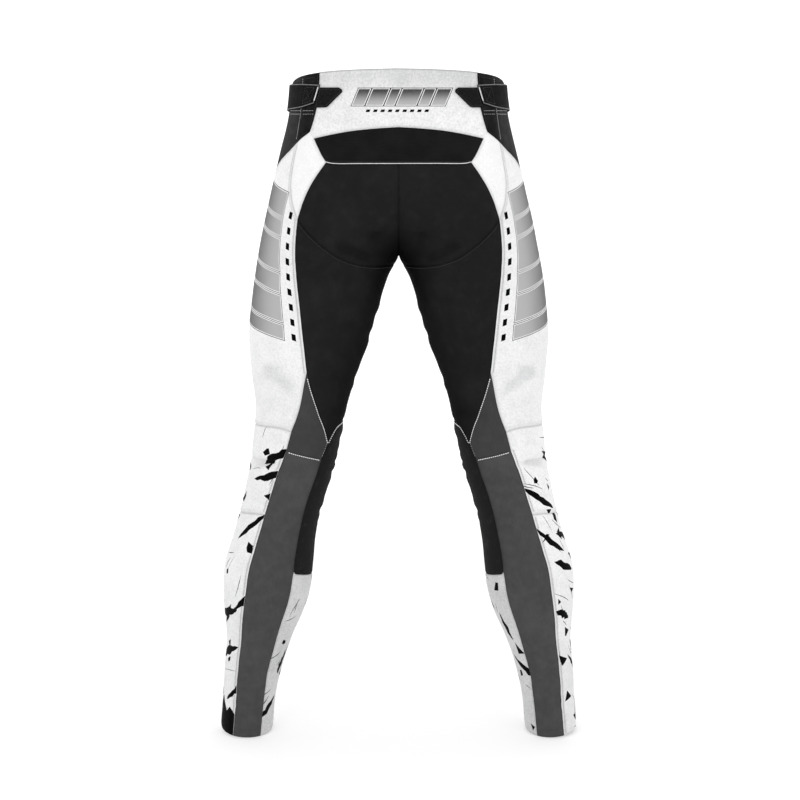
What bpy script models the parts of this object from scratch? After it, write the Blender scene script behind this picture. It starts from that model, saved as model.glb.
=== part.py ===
"""Motorcycle trousers, worn shape, hollow. Metres, +Z up, the back towards -Y, the origin in the
middle of the waist opening at the height of the adjuster straps. One half is drawn and mirrored.

The cloth of a half is one surface, point(around, height). 'around' runs along a level girth from
the outside of the leg, positive over the back, negative over the front. Every panel is a closed
outline of seams on that surface, filled with triangles and given its thickness inwards."""
import math

import bmesh
import bpy
import numpy as np
from mathutils import Vector
from mathutils.geometry import delaunay_2d_cdt

# Driving sizes
BELT_HEIGHT = 0.960  # of the origin, in the middle of the straps
FORK_HEIGHT = 0.720  # of the crotch point
RISE_CURVE = 0.125  # height over which the seat seam curves out from the crotch to the back
LEVEL_SEAM = math.radians(4)  # fold of the centre seams where the cloth spans them flat
WALL = 0.0018
SEAM_GAP = 0.0003
LAID_GAP = 0.0010  # under what lies on a panel, whose flat facets stand off a little
CENTRE_REACH = 0.0002  # within which a place counts as on the centre line
LAID_STEP = 0.010  # mesh spacing of what lies on a panel
STRAP_THICKNESS = 0.0028
PATCH_THICKNESS = 0.0016
STEP_AROUND, STEP_UP = 0.0155, 0.027  # mesh spacing
SEAM_STEP = 0.019  # of the points along a seam
CLEAR_OF_EDGE = 0.45  # share of the mesh spacing kept free between an outline and what fills it
CURVE_STEPS, EDGE_STEPS = 24, 160  # of a curve between two places, and of a seam along an edge
GIRTH_ROWS, GIRTH_COLUMNS = 225, 180  # of the table of measured girths
SLOPE_STEP = 0.0015  # over which the slope of the cloth is taken
HALVINGS, SIGHTINGS, SETTLINGS = 26, 14, 6  # rounds of the searches for a place
SHARPEST_CORNER = 0.35  # holds a pointed corner back when an outline is moved inwards
FOLD_OVERRUN, FOLD_FADE = 0.15, 0.45  # shares of a fold's length: past its ends, and to fade in
FOLD_REACH = 1.8  # half widths out to where a fold has run flat
CREASED = math.radians(50)  # angle from which an edge is drawn sharp

# Heights and widths called 'seen' are those that show from this place behind the garment, which
# looks down at the middle of its height. They are measured square to that line, through the middle
SEEN_FROM_DISTANCE = 3.00
SEEN_FROM_HEIGHT = 0.945
LOOKED_AT_HEIGHT = 0.500

# Sections of a half: seen height, seen outside and inside edge, backmost and frontmost line
SECTIONS = [
    # height, outside, inside, back, front
    (0.000, 0.271, 0.192, -0.068, 0.027),
    (0.050, 0.268, 0.188, -0.069, 0.028),
    (0.100, 0.265, 0.177, -0.075, 0.030),
    (0.145, 0.262, 0.162, -0.083, 0.033),
    (0.180, 0.265, 0.146, -0.089, 0.038),
    (0.215, 0.267, 0.135, -0.093, 0.042),
    (0.255, 0.264, 0.130, -0.093, 0.047),
    (0.290, 0.253, 0.127, -0.089, 0.052),
    (0.325, 0.243, 0.121, -0.083, 0.058),
    (0.365, 0.234, 0.109, -0.077, 0.066),
    (0.400, 0.227, 0.098, -0.073, 0.072),
    (0.440, 0.222, 0.089, -0.070, 0.078),
    (0.490, 0.218, 0.079, -0.072, 0.082),
    (0.545, 0.224, 0.063, -0.080, 0.088),
    (0.600, 0.228, 0.044, -0.089, 0.094),
    (0.655, 0.224, 0.027, -0.098, 0.099),
    (0.690, 0.2195, 0.0155, -0.106, 0.102),
    (0.721, 0.2145, 0.0, -0.114, 0.104),
    (0.765, 0.206, 0.0, -0.124, 0.106),
    (0.820, 0.194, 0.0, -0.127, 0.106),
    (0.875, 0.181, 0.0, -0.117, 0.105),
    (0.912, 0.172, 0.0, -0.109, 0.104),
    (0.942, 0.1660, 0.0, -0.105, 0.103),
    (0.990, 0.1615, 0.0, -0.103, 0.101),
]
# How far out the back and front stand fullest above the crotch
FULLEST = [
    # height, across
    (0.721, 0.107),
    (0.765, 0.093),
    (0.820, 0.078),
    (0.875, 0.058),
    (0.912, 0.045),
    (0.942, 0.036),
    (0.990, 0.030),
]

# Edges of the whole garment
RIM_SIDE = 0.975  # height of the rim over the outside of the leg
RIM_UP_BACK, RIM_BACK_RUN = 0.023, 0.07  # how far it rises to the back, and how soon
RIM_DOWN_FRONT, RIM_FRONT_RUN = 0.020, 0.06
HEM_HEIGHT, HEM_UP_FRONT, HEM_UP_OUTSIDE = -0.007, 0.10, 0.05  # height, and slope each way

# Where seams meet. A 'back' place is as seen from behind, a 'front' one is level width and
# height, and 'rim', 'hem', 'back centre', 'inseam' and 'front centre' places lie on that edge
CORNERS = {
    # name: (way of measuring, across or None, height or None)
    "rim centre": ("rim back centre", None, None),
    "rim yoke": ("rim", 0.1150, None),
    "rim side back": ("rim", 0.1385, None),
    "rim front": ("rim front", 0.110, None),
    "rim front centre": ("rim front centre", None, None),
    "yoke end": ("back", 0.1365, 0.9095),
    "stretch corner": ("back", 0.1300, 0.8990),
    "stretch top": ("back", 0.0, 0.9163),
    "stretch bottom": ("back", 0.0, 0.8607),
    "seat top": ("back", 0.1110, 0.8630),
    "side back low": ("back", 0.1548, 0.8935),
    "waist side low": ("front", 0.143, 0.806),
    "hip end": ("back", 0.1548, 0.7755),
    "arc end": ("inseam", None, 0.7080),
    "knee point": ("back", 0.1403, 0.5410),
    "knee seam back": ("back", 0.1645, 0.4510),
    "knee seam front": ("front", 0.190, 0.470),
    "knee pit": ("back", 0.1078, 0.4345),
    "calf inside top": ("back", 0.1174, 0.4090),
    "calf outside top": ("back", 0.1716, 0.4223),
    "grip top": ("inseam", None, 0.4680),
    "grip front top": ("front", 0.117, 0.472),
    "grip front bottom": ("front", 0.163, 0.238),
    "grip bottom": ("back", 0.1590, 0.2375),
    "shin seam back": ("back", 0.2045, 0.3250),
    "shin seam front": ("front", 0.143, 0.330),
    "hem calf outside": ("hem back", 0.2540, None),
    "hem calf inside": ("hem back", 0.2115, None),
    "hem front": ("hem front", 0.218, None),
    "fork back": ("back centre", None, FORK_HEIGHT),
    "fork front": ("front centre", None, FORK_HEIGHT),
    "grip top front": ("front inseam", None, 0.4680),
}

# Seams of a half: two corners, and the places that the seam passes between them, each as
# (way of measuring, across, height)
SEAMS = {
    "rim back": ("rim centre", "rim yoke", "rim"),
    "rim waist back": ("rim yoke", "rim side back", "rim"),
    "rim waist side": ("rim side back", "rim front", "rim"),
    "rim thigh": ("rim front", "rim front centre", "rim"),
    "yoke side": ("rim yoke", "yoke end", [("back", 0.1273, 0.9392)]),
    "yoke corner": ("yoke end", "stretch corner", []),
    "stretch arch": ("stretch top", "stretch corner", [
        ("back", 0.0300, 0.9145), ("back", 0.0680, 0.9110), ("back", 0.1010, 0.9055),
    ]),
    "stretch side": ("stretch corner", "seat top", [
        ("back", 0.1230, 0.8840), ("back", 0.1180, 0.8735),
    ]),
    "stretch lower": ("seat top", "stretch bottom", [
        ("back", 0.0980, 0.8607), ("back", 0.0600, 0.8607), ("back", 0.0250, 0.8607),
    ]),
    "waist back low": ("yoke end", "side back low", [("back", 0.1460, 0.9025)]),
    "waist side edge": ("side back low", "waist side low", [
        ("back", 0.1700, 0.8775), ("side", -0.010, 0.850), ("side", 0.045, 0.824),
    ]),
    "side back upper": ("rim side back", "side back low", [("back", 0.1480, 0.9390)]),
    "side back": ("side back low", "hip end", [
        ("back", 0.1610, 0.8600), ("back", 0.1648, 0.8310), ("back", 0.1632, 0.8020),
    ]),
    "waist front": ("rim front", "waist side low", [("front", 0.125, 0.880)]),
    "thigh front": ("waist side low", "knee seam front", [
        ("front", 0.172, 0.700), ("front", 0.186, 0.580),
    ]),
    "seat edge": ("seat top", "hip end", [("back", 0.1300, 0.8355), ("back", 0.1440, 0.8080)]),
    "thigh edge": ("hip end", "knee point", [
        ("back", 0.1585, 0.7250), ("back", 0.1530, 0.6550), ("back", 0.1460, 0.5900),
    ]),
    "seat arc": ("hip end", "arc end", [
        ("back", 0.1388, 0.7547), ("back", 0.1098, 0.7287), ("back", 0.0830, 0.7127),
        ("back", 0.0450, 0.7035),
    ]),
    "seat centre": ("stretch bottom", "fork back", "back centre"),
    "seat inseam": ("fork back", "arc end", "inseam"),
    "inseam back": ("arc end", "grip top", "inseam"),
    "front centre": ("rim front centre", "fork front", "front centre"),
    "inseam front": ("fork front", "grip top front", "front inseam"),
    "knee inside": ("knee point", "knee pit", [("back", 0.1245, 0.4880)]),
    "knee outside": ("knee point", "knee seam back", []),
    "knee outside low": ("knee seam back", "calf outside top", []),
    "knee pit seam": ("knee pit", "calf inside top", []),
    "knee crease": ("calf inside top", "calf outside top", [("back", 0.1460, 0.4150)]),
    "grip top back": ("knee pit", "grip top", [("back", 0.1000, 0.4500), ("back", 0.0920, 0.4610)]),
    "grip top seam": ("grip top front", "grip front top", []),
    "calf inside": ("calf inside top", "grip bottom", [
        ("back", 0.1233, 0.3900), ("back", 0.1413, 0.3368), ("back", 0.1530, 0.2860),
    ]),
    "calf inside low": ("grip bottom", "hem calf inside", [
        ("back", 0.1673, 0.1935), ("back", 0.1862, 0.1325), ("back", 0.2013, 0.0700),
    ]),
    "calf outside": ("calf outside top", "shin seam back", [("back", 0.1856, 0.3855)]),
    "calf outside low": ("shin seam back", "hem calf outside", [
        ("back", 0.2158, 0.2865), ("back", 0.2325, 0.2148), ("back", 0.2432, 0.1127),
    ]),
    "grip front": ("grip front top", "shin seam front", [("front", 0.124, 0.410)]),
    "grip front low": ("shin seam front", "grip front bottom", [("front", 0.158, 0.275)]),
    "shin front": ("grip front bottom", "hem front", [("front", 0.192, 0.130)]),
    "grip lower": ("grip bottom", "grip front bottom", [
        ("back", 0.1530, 0.2335), ("inseam", None, 0.2360),
    ]),
    "knee seam side": ("knee seam back", "knee seam front", [
        ("back", 0.1900, 0.4580), ("side", 0.010, 0.4640), ("side", 0.050, 0.468),
    ]),
    "knee seam inner": ("knee seam front", "grip front top", [("front", 0.155, 0.468)]),
    "shin seam": ("shin seam back", "shin seam front", [
        ("back", 0.2250, 0.3270), ("side", -0.005, 0.329), ("side", 0.035, 0.330),
        ("front", 0.200, 0.330),
    ]),
    "hem calf": ("hem calf outside", "hem calf inside", "hem"),
    "hem inside": ("hem calf inside", "hem front", "hem through inseam"),
    "hem outside": ("hem calf outside", "hem front", "hem"),
}

WHITE = (0.80, 0.80, 0.80)
BLACK = (0.012, 0.012, 0.013)
GREY = (0.062, 0.062, 0.064)
# Panels of a half: which way the outline is laid out, the seams round it, colour, roughness
PANELS = {
    # name: (layout, seams, colour, roughness)
    "waist_back": ("half", ["rim waist back", "side back upper", "waist back low", "yoke side"],
                   BLACK, 0.75),
    "waist_side": ("half", ["rim waist side", "waist front", "waist side edge",
                            "side back upper"], BLACK, 0.75),
    "hip_back": ("half", ["yoke corner", "stretch side", "seat edge", "side back",
                          "waist back low"], WHITE, 0.55),
    "seat": ("half", ["stretch lower", "seat edge", "seat arc", "seat inseam", "seat centre"],
             BLACK, 0.8),
    "thigh_back": ("half", ["seat arc", "thigh edge", "knee inside", "grip top back",
                            "inseam back"], BLACK, 0.8),
    "side_thigh": ("half", ["side back", "thigh edge", "knee outside", "knee seam side",
                            "thigh front", "waist side edge"], WHITE, 0.55),
    "front_thigh": ("half", ["rim thigh", "front centre", "inseam front", "grip top seam",
                             "knee seam inner", "thigh front", "waist front"], WHITE, 0.55),
    "knee_back": ("half", ["knee inside", "knee pit seam", "knee crease", "knee outside low",
                           "knee outside"], GREY, 0.75),
    "calf": ("half", ["knee crease", "calf inside", "calf inside low", "hem calf",
                      "calf outside low", "calf outside"], GREY, 0.75),
    "knee_grip": ("round", ["grip top back", "grip top seam", "grip front", "grip front low",
                            "grip lower", "calf inside", "knee pit seam"], BLACK, 0.85),
    "inner_shin": ("round", ["grip lower", "shin front", "hem inside", "calf inside low"],
                   WHITE, 0.55),
    "outer_knee": ("half", ["knee seam side", "knee seam inner", "grip front", "shin seam",
                            "calf outside", "knee outside low"], WHITE, 0.55),
    "outer_shin": ("half", ["shin seam", "grip front low", "shin front", "hem outside",
                            "calf outside low"], WHITE, 0.55),
}
# Panels across the centre of the back
CENTRE_PANELS = {
    # name: (seams, colour, roughness)
    "back_yoke": (["rim back", "yoke side", "yoke corner", "stretch arch"], WHITE, 0.55),
    "stretch_panel": (["stretch arch", "stretch side", "stretch lower"], BLACK, 0.7),
}

# Largest folds: soft troughs (negative) and ridges along a line between two places
FOLDS = [
    # way of measuring, across, height, to across, to height, half width, depth
    ("back", 0.2130, 0.5550, 0.1500, 0.5080, 0.016, -0.0030),
    ("back", 0.2140, 0.6250, 0.1700, 0.5950, 0.018, -0.0022),
    ("back", 0.0400, 0.7120, 0.1050, 0.7450, 0.011, -0.0035),
    ("back", 0.0250, 0.7360, 0.0560, 0.7620, 0.010, -0.0030),
    ("back", 0.0900, 0.5450, 0.1250, 0.5550, 0.012, -0.0022),
    ("back", 0.0900, 0.4850, 0.1300, 0.4750, 0.011, -0.0030),
    ("back", 0.1250, 0.4420, 0.1750, 0.4500, 0.010, -0.0028),
    ("back", 0.1250, 0.3950, 0.1750, 0.4020, 0.010, -0.0022),
    ("front", 0.0300, 0.7500, 0.1250, 0.7850, 0.012, -0.0035),
    ("front", 0.0350, 0.7250, 0.1300, 0.7300, 0.012, -0.0030),
    ("front", 0.1200, 0.4300, 0.2050, 0.4250, 0.013, -0.0026),
    ("front", 0.1300, 0.3700, 0.2150, 0.3750, 0.013, -0.0026),
    ("front", 0.1950, 0.0900, 0.2500, 0.0750, 0.011, -0.0024),
    ("back", 0.1950, 0.0800, 0.2500, 0.0900, 0.011, -0.0022),
]


def columns(table):
    return np.array(table, dtype=float).T


def smooth_table(at, heights, values):
    """The value at a height, on a smooth curve through the rows of a table"""
    at = np.clip(np.asarray(at, dtype=float), heights[0], heights[-1])
    slopes = np.gradient(values, heights)
    low = np.clip(np.searchsorted(heights, at, side="right") - 1, 0, len(heights) - 2)
    span = heights[low + 1] - heights[low]
    s = (at - heights[low]) / span
    return (
        (1 + 2 * s) * (1 - s) ** 2 * values[low]
        + s * (1 - s) ** 2 * span * slopes[low]
        + s * s * (3 - 2 * s) * values[low + 1]
        - s * s * (1 - s) * span * slopes[low + 1]
    )


LOOK_DOWN = math.atan2(SEEN_FROM_HEIGHT - LOOKED_AT_HEIGHT, SEEN_FROM_DISTANCE)
LOOK_LENGTH = math.hypot(SEEN_FROM_HEIGHT - LOOKED_AT_HEIGHT, SEEN_FROM_DISTANCE)


def true_place(across, height, depth):
    """Width and height of a place at a known depth that is seen at a width and height"""
    up = height - LOOKED_AT_HEIGHT
    # Down the line of sight from the eye, to where it meets the upright plane at that depth
    fall = (up * math.cos(LOOK_DOWN) - LOOK_LENGTH * math.sin(LOOK_DOWN)) / (
        up * math.sin(LOOK_DOWN) + LOOK_LENGTH * math.cos(LOOK_DOWN))
    run = SEEN_FROM_DISTANCE + depth
    ahead = run * (math.cos(LOOK_DOWN) - fall * math.sin(LOOK_DOWN))
    return across * ahead / LOOK_LENGTH, SEEN_FROM_HEIGHT + fall * run


def true_sections():
    rows = []
    for height, outside, inside, back, front in SECTIONS:
        out, level = true_place(outside, height, (back + front) / 2)
        rows.append((level, out, true_place(inside, height, (back + front) / 2)[0], back, front))
    return columns(rows)


HEIGHTS, OUTSIDE, INSIDE, BACK, FRONT = true_sections()
FULL_HEIGHTS, FULL_ACROSS = columns(FULLEST)
FULL_FROM = 0.600  # height from which the fullest line moves over from the middle of the leg


def section(height):
    """Centre, reach and end angle of the level section at a height: two half ellipses on one
    centre, cut off at the centre seam above the crotch"""
    height = np.asarray(height, dtype=float)
    outside = smooth_table(height, HEIGHTS, OUTSIDE)
    inside = np.where(height < FORK_HEIGHT, smooth_table(height, HEIGHTS, INSIDE), 0.0)
    inside = np.maximum(inside, 0.0)
    back = smooth_table(height, HEIGHTS, BACK)
    front = smooth_table(height, HEIGHTS, FRONT)
    over = np.clip((height - FORK_HEIGHT) / RISE_CURVE, 0, 1)
    end = np.maximum(math.pi / 2 * (1 - np.sqrt(over)), LEVEL_SEAM)
    above = smooth_table(height, FULL_HEIGHTS, FULL_ACROSS)
    share = np.clip((height - FULL_FROM) / (FORK_HEIGHT - FULL_FROM), 0, 1)
    centre = np.where(height < FORK_HEIGHT, (outside + inside) / 2 * (1 - share)
                      + share * (above + inside / 2), above)
    reach_in = (centre - inside) / np.sin(end)
    middle = (front + back) / 2
    return dict(centre=centre, out=outside - centre, inward=reach_in, middle=middle,
                back=middle - back, front=front - middle, end=math.pi / 2 + end)


def at_angle(height, angle):
    """The point of the section at an angle from the outside, positive over the back"""
    s = section(height)
    turn = np.abs(angle)
    reach = np.where(turn < math.pi / 2, s["out"], s["inward"])
    depth = np.where(np.asarray(angle) > 0, -s["back"], s["front"])
    return np.stack([s["centre"] + reach * np.cos(turn), s["middle"] + depth * np.sin(turn),
                     np.broadcast_to(height, turn.shape).astype(float)], -1)


# Girths measured once, so that 'around' can be turned into an angle
GIRTH_LOW, GIRTH_STEP = -0.06, 0.005
GIRTH_HEIGHTS = GIRTH_LOW + GIRTH_STEP * np.arange(GIRTH_ROWS)
GIRTH_ANGLES = np.linspace(0.0, math.pi, GIRTH_COLUMNS + 1)


def measured(sign):
    height, angle = np.meshgrid(GIRTH_HEIGHTS, GIRTH_ANGLES, indexing="ij")
    places = at_angle(height, sign * np.maximum(angle, 1e-9))
    steps = np.linalg.norm(np.diff(places, axis=1), axis=2)
    return np.concatenate([np.zeros((len(height), 1)), np.cumsum(steps, axis=1)], axis=1)


GIRTHS = {1: measured(1), -1: measured(-1)}


def girth_to(height, angle):
    """Distance around, from the outside to an angle"""
    height, angle = np.broadcast_arrays(np.asarray(height, float), np.asarray(angle, float))
    row = np.clip((height - GIRTH_LOW) / GIRTH_STEP, 0, len(GIRTH_HEIGHTS) - 1.001)
    low = row.astype(int)
    part = row - low
    column = np.abs(angle) / math.pi * GIRTH_COLUMNS
    cell = np.clip(column.astype(int), 0, GIRTH_COLUMNS - 1)
    share = column - cell
    result = np.zeros(height.shape)
    for sign in (1, -1):
        table = GIRTHS[sign]
        length = (
            (table[low, cell] * (1 - share) + table[low, cell + 1] * share) * (1 - part)
            + (table[low + 1, cell] * (1 - share) + table[low + 1, cell + 1] * share) * part
        )
        result = np.where((angle >= 0) == (sign > 0), sign * length, result)
    return result


def angle_of(around, height):
    """The angle that lies a distance around the section"""
    around, height = np.broadcast_arrays(np.asarray(around, float), np.asarray(height, float))
    low = np.zeros(around.shape)
    high = np.full(around.shape, math.pi)
    sign = np.where(around >= 0, 1.0, -1.0)
    for _ in range(HALVINGS):
        middle = (low + high) / 2
        short = np.abs(girth_to(height, sign * middle)) < np.abs(around)
        low = np.where(short, middle, low)
        high = np.where(short, high, middle)
    return sign * (low + high) / 2


def back_end(height):
    return girth_to(height, section(height)["end"])


def front_end(height):
    return girth_to(height, -section(height)["end"])


def smooth_surface(around, height):
    """The cloth without its folds. Past the inseam it goes on over the other side"""
    around, height = np.broadcast_arrays(np.asarray(around, float), np.asarray(height, float))
    last, first = back_end(height), front_end(height)
    below = height < FORK_HEIGHT
    around = np.where(below & (around > last), around - last + first, around)
    around = np.where(below & (around < first), around - first + last, around)
    return at_angle(height, angle_of(around, height))


def normal(around, height):
    """Outward direction of the cloth"""
    step = SLOPE_STEP
    along = smooth_surface(around + step, height) - smooth_surface(around - step, height)
    up = smooth_surface(around, height + step) - smooth_surface(around, height - step)
    out = np.cross(up, along)
    return out / np.maximum(np.linalg.norm(out, axis=-1, keepdims=True), 1e-12)


def seen(across, height):
    """The place on the back of the cloth that is seen at this width and height"""
    depth = 0.0
    for _ in range(SIGHTINGS):
        x, z = true_place(across, height, depth)
        s = section(z)
        reach = s["out"] if x > s["centre"] else s["inward"]
        angle = math.acos(min(max((x - s["centre"]) / reach, -1), 1))
        angle = min(max(angle, 1e-6), float(s["end"]))
        depth = float(at_angle(z, np.array(angle))[1])
    return float(girth_to(z, angle)), float(z)


def rim_height(around):
    around = np.asarray(around, dtype=float)
    back = RIM_UP_BACK * (1 - np.exp(-np.maximum(around, 0) / RIM_BACK_RUN))
    front = RIM_DOWN_FRONT * (1 - np.exp(np.minimum(around, 0) / RIM_FRONT_RUN))
    return RIM_SIDE + back - front


def hem_height(around):
    places = smooth_surface(around, np.full(np.shape(around), HEM_HEIGHT))
    s = section(HEM_HEIGHT)
    return (HEM_HEIGHT + HEM_UP_FRONT * (places[..., 1] - s["middle"])
            + HEM_UP_OUTSIDE * (places[..., 0] - s["centre"]))


def on_section(height, across, sign):
    s = section(height)
    reach = s["out"] if across > s["centre"] else s["inward"]
    angle = math.acos(min(max((across - s["centre"]) / float(reach), -1), 1))
    return float(girth_to(height, sign * max(angle, 1e-6)))


def settled(way, across):
    """A place on the rim or hem, whose height depends on how far round it lies"""
    edge = rim_height if way.startswith("rim") else hem_height
    sign = -1 if "front" in way else 1
    height = RIM_SIDE if way.startswith("rim") else HEM_HEIGHT
    for _ in range(SETTLINGS):
        if "centre" in way:
            around = float(front_end(height) if sign < 0 else back_end(height))
        else:
            around = on_section(height, across, sign)
        height = float(edge(np.array(around)))
    return around, height


def place(way, across, height):
    """A measured place as (around, height) on the cloth"""
    if way.startswith(("rim", "hem")):
        return settled(way, across)
    if way in ("back centre", "inseam"):
        return float(back_end(height)), height
    if way in ("front centre", "front inseam"):
        return float(front_end(height)), height
    if way == "back":
        return seen(across, height)
    if way == "front":
        return on_section(height, across, -1), height
    s = section(height)
    depth = s["front"] if across > s["middle"] else s["back"]
    angle = math.asin(min(abs(across - s["middle"]) / float(depth), 1))
    return float(girth_to(height, angle if across < s["middle"] else -angle)), height


def curve_through(points, step):
    """Evenly spaced points on a smooth curve through the given ones, ends kept"""
    points = np.array(points, dtype=float)
    if len(points) == 2:
        fine = np.linspace(points[0], points[1], CURVE_STEPS)
    else:
        ends = [2 * points[0] - points[1], *points, 2 * points[-1] - points[-2]]
        fine = []
        for a, b, c, d in zip(ends, ends[1:], ends[2:], ends[3:]):
            for s in np.linspace(0, 1, CURVE_STEPS, endpoint=False):
                fine.append(0.5 * (2 * b + (c - a) * s + (2 * a - 5 * b + 4 * c - d) * s * s
                                   + (3 * b - a - 3 * c + d) * s ** 3))
        fine = np.array(fine + [points[-1]])
    return spaced(fine, step)


def spaced(fine, step):
    lengths = np.concatenate([[0], np.cumsum(np.linalg.norm(np.diff(fine, axis=0), axis=1))])
    count = max(1, round(lengths[-1] / step))
    at = np.linspace(0, lengths[-1], count + 1)
    return np.stack([np.interp(at, lengths, fine[:, 0]), np.interp(at, lengths, fine[:, 1])], 1)


def edge_curve(kind, start, end, step):
    """A seam that follows the rim, the hem or a centre seam"""
    share = np.linspace(0, 1, EDGE_STEPS)
    if kind in ("rim", "hem", "hem through inseam"):
        around = start[0] + share * (end[0] - start[0])
        if kind == "hem through inseam":
            whole = float(back_end(HEM_HEIGHT) - front_end(HEM_HEIGHT))
            around = start[0] + share * (end[0] + whole - start[0])
        heights = (rim_height if kind == "rim" else hem_height)(around)
        heights = heights + (start[1] - heights[0]) * (1 - share) + (end[1] - heights[-1]) * share
    else:
        # Heights crowd towards the crotch, where the seam turns level
        heights = start[1] + (end[1] - start[1]) * share
        if abs(end[1] - FORK_HEIGHT) < 1e-9:
            heights = end[1] + (start[1] - end[1]) * (1 - share) ** 2
        if abs(start[1] - FORK_HEIGHT) < 1e-9:
            heights = start[1] + (end[1] - start[1]) * share ** 2
        around = (front_end if "front" in kind else back_end)(heights)
    return spaced(np.stack([around, heights], 1), step)


def made_seams(step):
    corners = {name: place(*row) for name, row in CORNERS.items()}
    seams = {}
    for name, (start, end, through) in SEAMS.items():
        if isinstance(through, str):
            seams[name] = edge_curve(through, corners[start], corners[end], step)
            continue
        stops = [corners[start], *(place(*row) for row in through), corners[end]]
        if name == "grip lower":
            # Crosses the inseam to the front, so the front end is counted on past it
            height = stops[-1][1]
            whole = float(back_end(height) - front_end(height))
            stops[-1] = (stops[-1][0] + whole, height)
        seams[name] = curve_through(stops, step)
    return seams


def past_inseam(points):
    """Front places counted on past the inseam, for a panel that goes round the inside"""
    whole = back_end(points[:, 1]) - front_end(points[:, 1])
    around = np.where(points[:, 0] < 0, points[:, 0] + whole, points[:, 0])
    return np.stack([around, points[:, 1]], 1)


def chained(parts):
    """Seams joined end to end into one closed outline, turned round where needed"""
    parts = [np.array(p) for p in parts]
    outline = list(parts.pop(0))
    while parts:
        tail = outline[-1]
        gaps = [min(np.linalg.norm(p[0] - tail), np.linalg.norm(p[-1] - tail)) for p in parts]
        part = parts.pop(int(np.argmin(gaps)))
        if np.linalg.norm(part[-1] - tail) < np.linalg.norm(part[0] - tail):
            part = part[::-1]
        outline += list(part[1:])
    closed = np.linalg.norm(outline[-1] - outline[0]) < SEAM_GAP
    return np.array(outline[:-1] if closed else outline)


def area_of(outline):
    x, y = outline.T
    return 0.5 * float(np.sum(x * np.roll(y, -1) - np.roll(x, -1) * y))


def pulled_in(outline, distance):
    """An outline moved inwards by half a seam gap"""
    if area_of(outline) < 0:
        outline = outline[::-1]
    before = outline - np.roll(outline, 1, 0)
    after = np.roll(outline, -1, 0) - outline
    before /= np.linalg.norm(before, axis=1, keepdims=True)
    after /= np.linalg.norm(after, axis=1, keepdims=True)
    inward = np.stack([-before[:, 1] - after[:, 1], before[:, 0] + after[:, 0]], 1)
    size = np.maximum(np.linalg.norm(inward, axis=1, keepdims=True), SHARPEST_CORNER)
    return outline + inward * (2 * distance / size ** 2)


def triangles_in(outline, around_step, up_step):
    """Points and triangles that fill an outline, with a lattice of points inside it"""
    scale = np.array([1.0, around_step / up_step])
    flat = outline * scale
    low, high = flat.min(0), flat.max(0)
    lattice = []
    row = 0
    y = math.floor(low[1] / around_step) * around_step
    while y < high[1]:
        shift = (row % 2) * around_step / 2
        x = math.floor(low[0] / around_step) * around_step + shift
        while x < high[0]:
            lattice.append((x, y))
            x += around_step
        y += around_step
        row += 1
    lattice = np.array(lattice)
    following = np.roll(flat, -1, 0)
    inside = np.zeros(len(lattice), bool)
    near = np.full(len(lattice), np.inf)
    for a, b in zip(flat, following):
        crosses = (a[1] > lattice[:, 1]) != (b[1] > lattice[:, 1])
        rise = b[1] - a[1] if b[1] != a[1] else 1e-12
        left = lattice[:, 0] < (b[0] - a[0]) * (lattice[:, 1] - a[1]) / rise + a[0]
        inside ^= crosses & left
        run = b - a
        s = np.clip(((lattice - a) @ run) / max(run @ run, 1e-18), 0, 1)
        near = np.minimum(near, np.linalg.norm(lattice - a - s[:, None] * run, axis=1))
    kept = lattice[inside & (near > CLEAR_OF_EDGE * around_step)]
    points = np.concatenate([flat, kept])
    found = delaunay_2d_cdt([tuple(p) for p in points], [], [list(range(len(flat)))], 1, 1e-9)
    places = np.array([tuple(v) for v in found[0]]) / scale
    return places, [list(face) for face in found[2]]


FOLD_LINES = [
    (place(way, a, b), place(way, c, d), width, depth)
    for way, a, b, c, d, width, depth in FOLDS
]


def folded(around, height):
    """How far the folds move the cloth out"""
    move = np.zeros(np.shape(around))
    for start, end, width, depth in FOLD_LINES:
        run = np.array([end[0] - start[0], end[1] - start[1]])
        x, y = around - start[0], height - start[1]
        along = (x * run[0] + y * run[1]) / (run @ run)
        off = np.abs(x * -run[1] + y * run[0]) / math.sqrt(run @ run)
        inside = np.minimum(along + FOLD_OVERRUN, 1 + FOLD_OVERRUN - along)
        ends = np.clip(inside / FOLD_FADE, 0, 1)
        across = np.clip(1 - off / (FOLD_REACH * width), 0, 1)
        move = move + depth * (ends * ends * (3 - 2 * ends)) * across * across * (3 - 2 * across)
    return move


def lifted(points, side, lift=0.0):
    """World places of (around, height) places, moved out by the folds and a lift"""
    around, height = points[:, 0], points[:, 1]
    out = normal(around, height)
    outer = smooth_surface(around, height) + out * (folded(around, height) + lift)[:, None]
    outer[:, 2] -= BELT_HEIGHT
    flip = np.array([side, 1, 1])
    return outer * flip, out * flip


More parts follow.
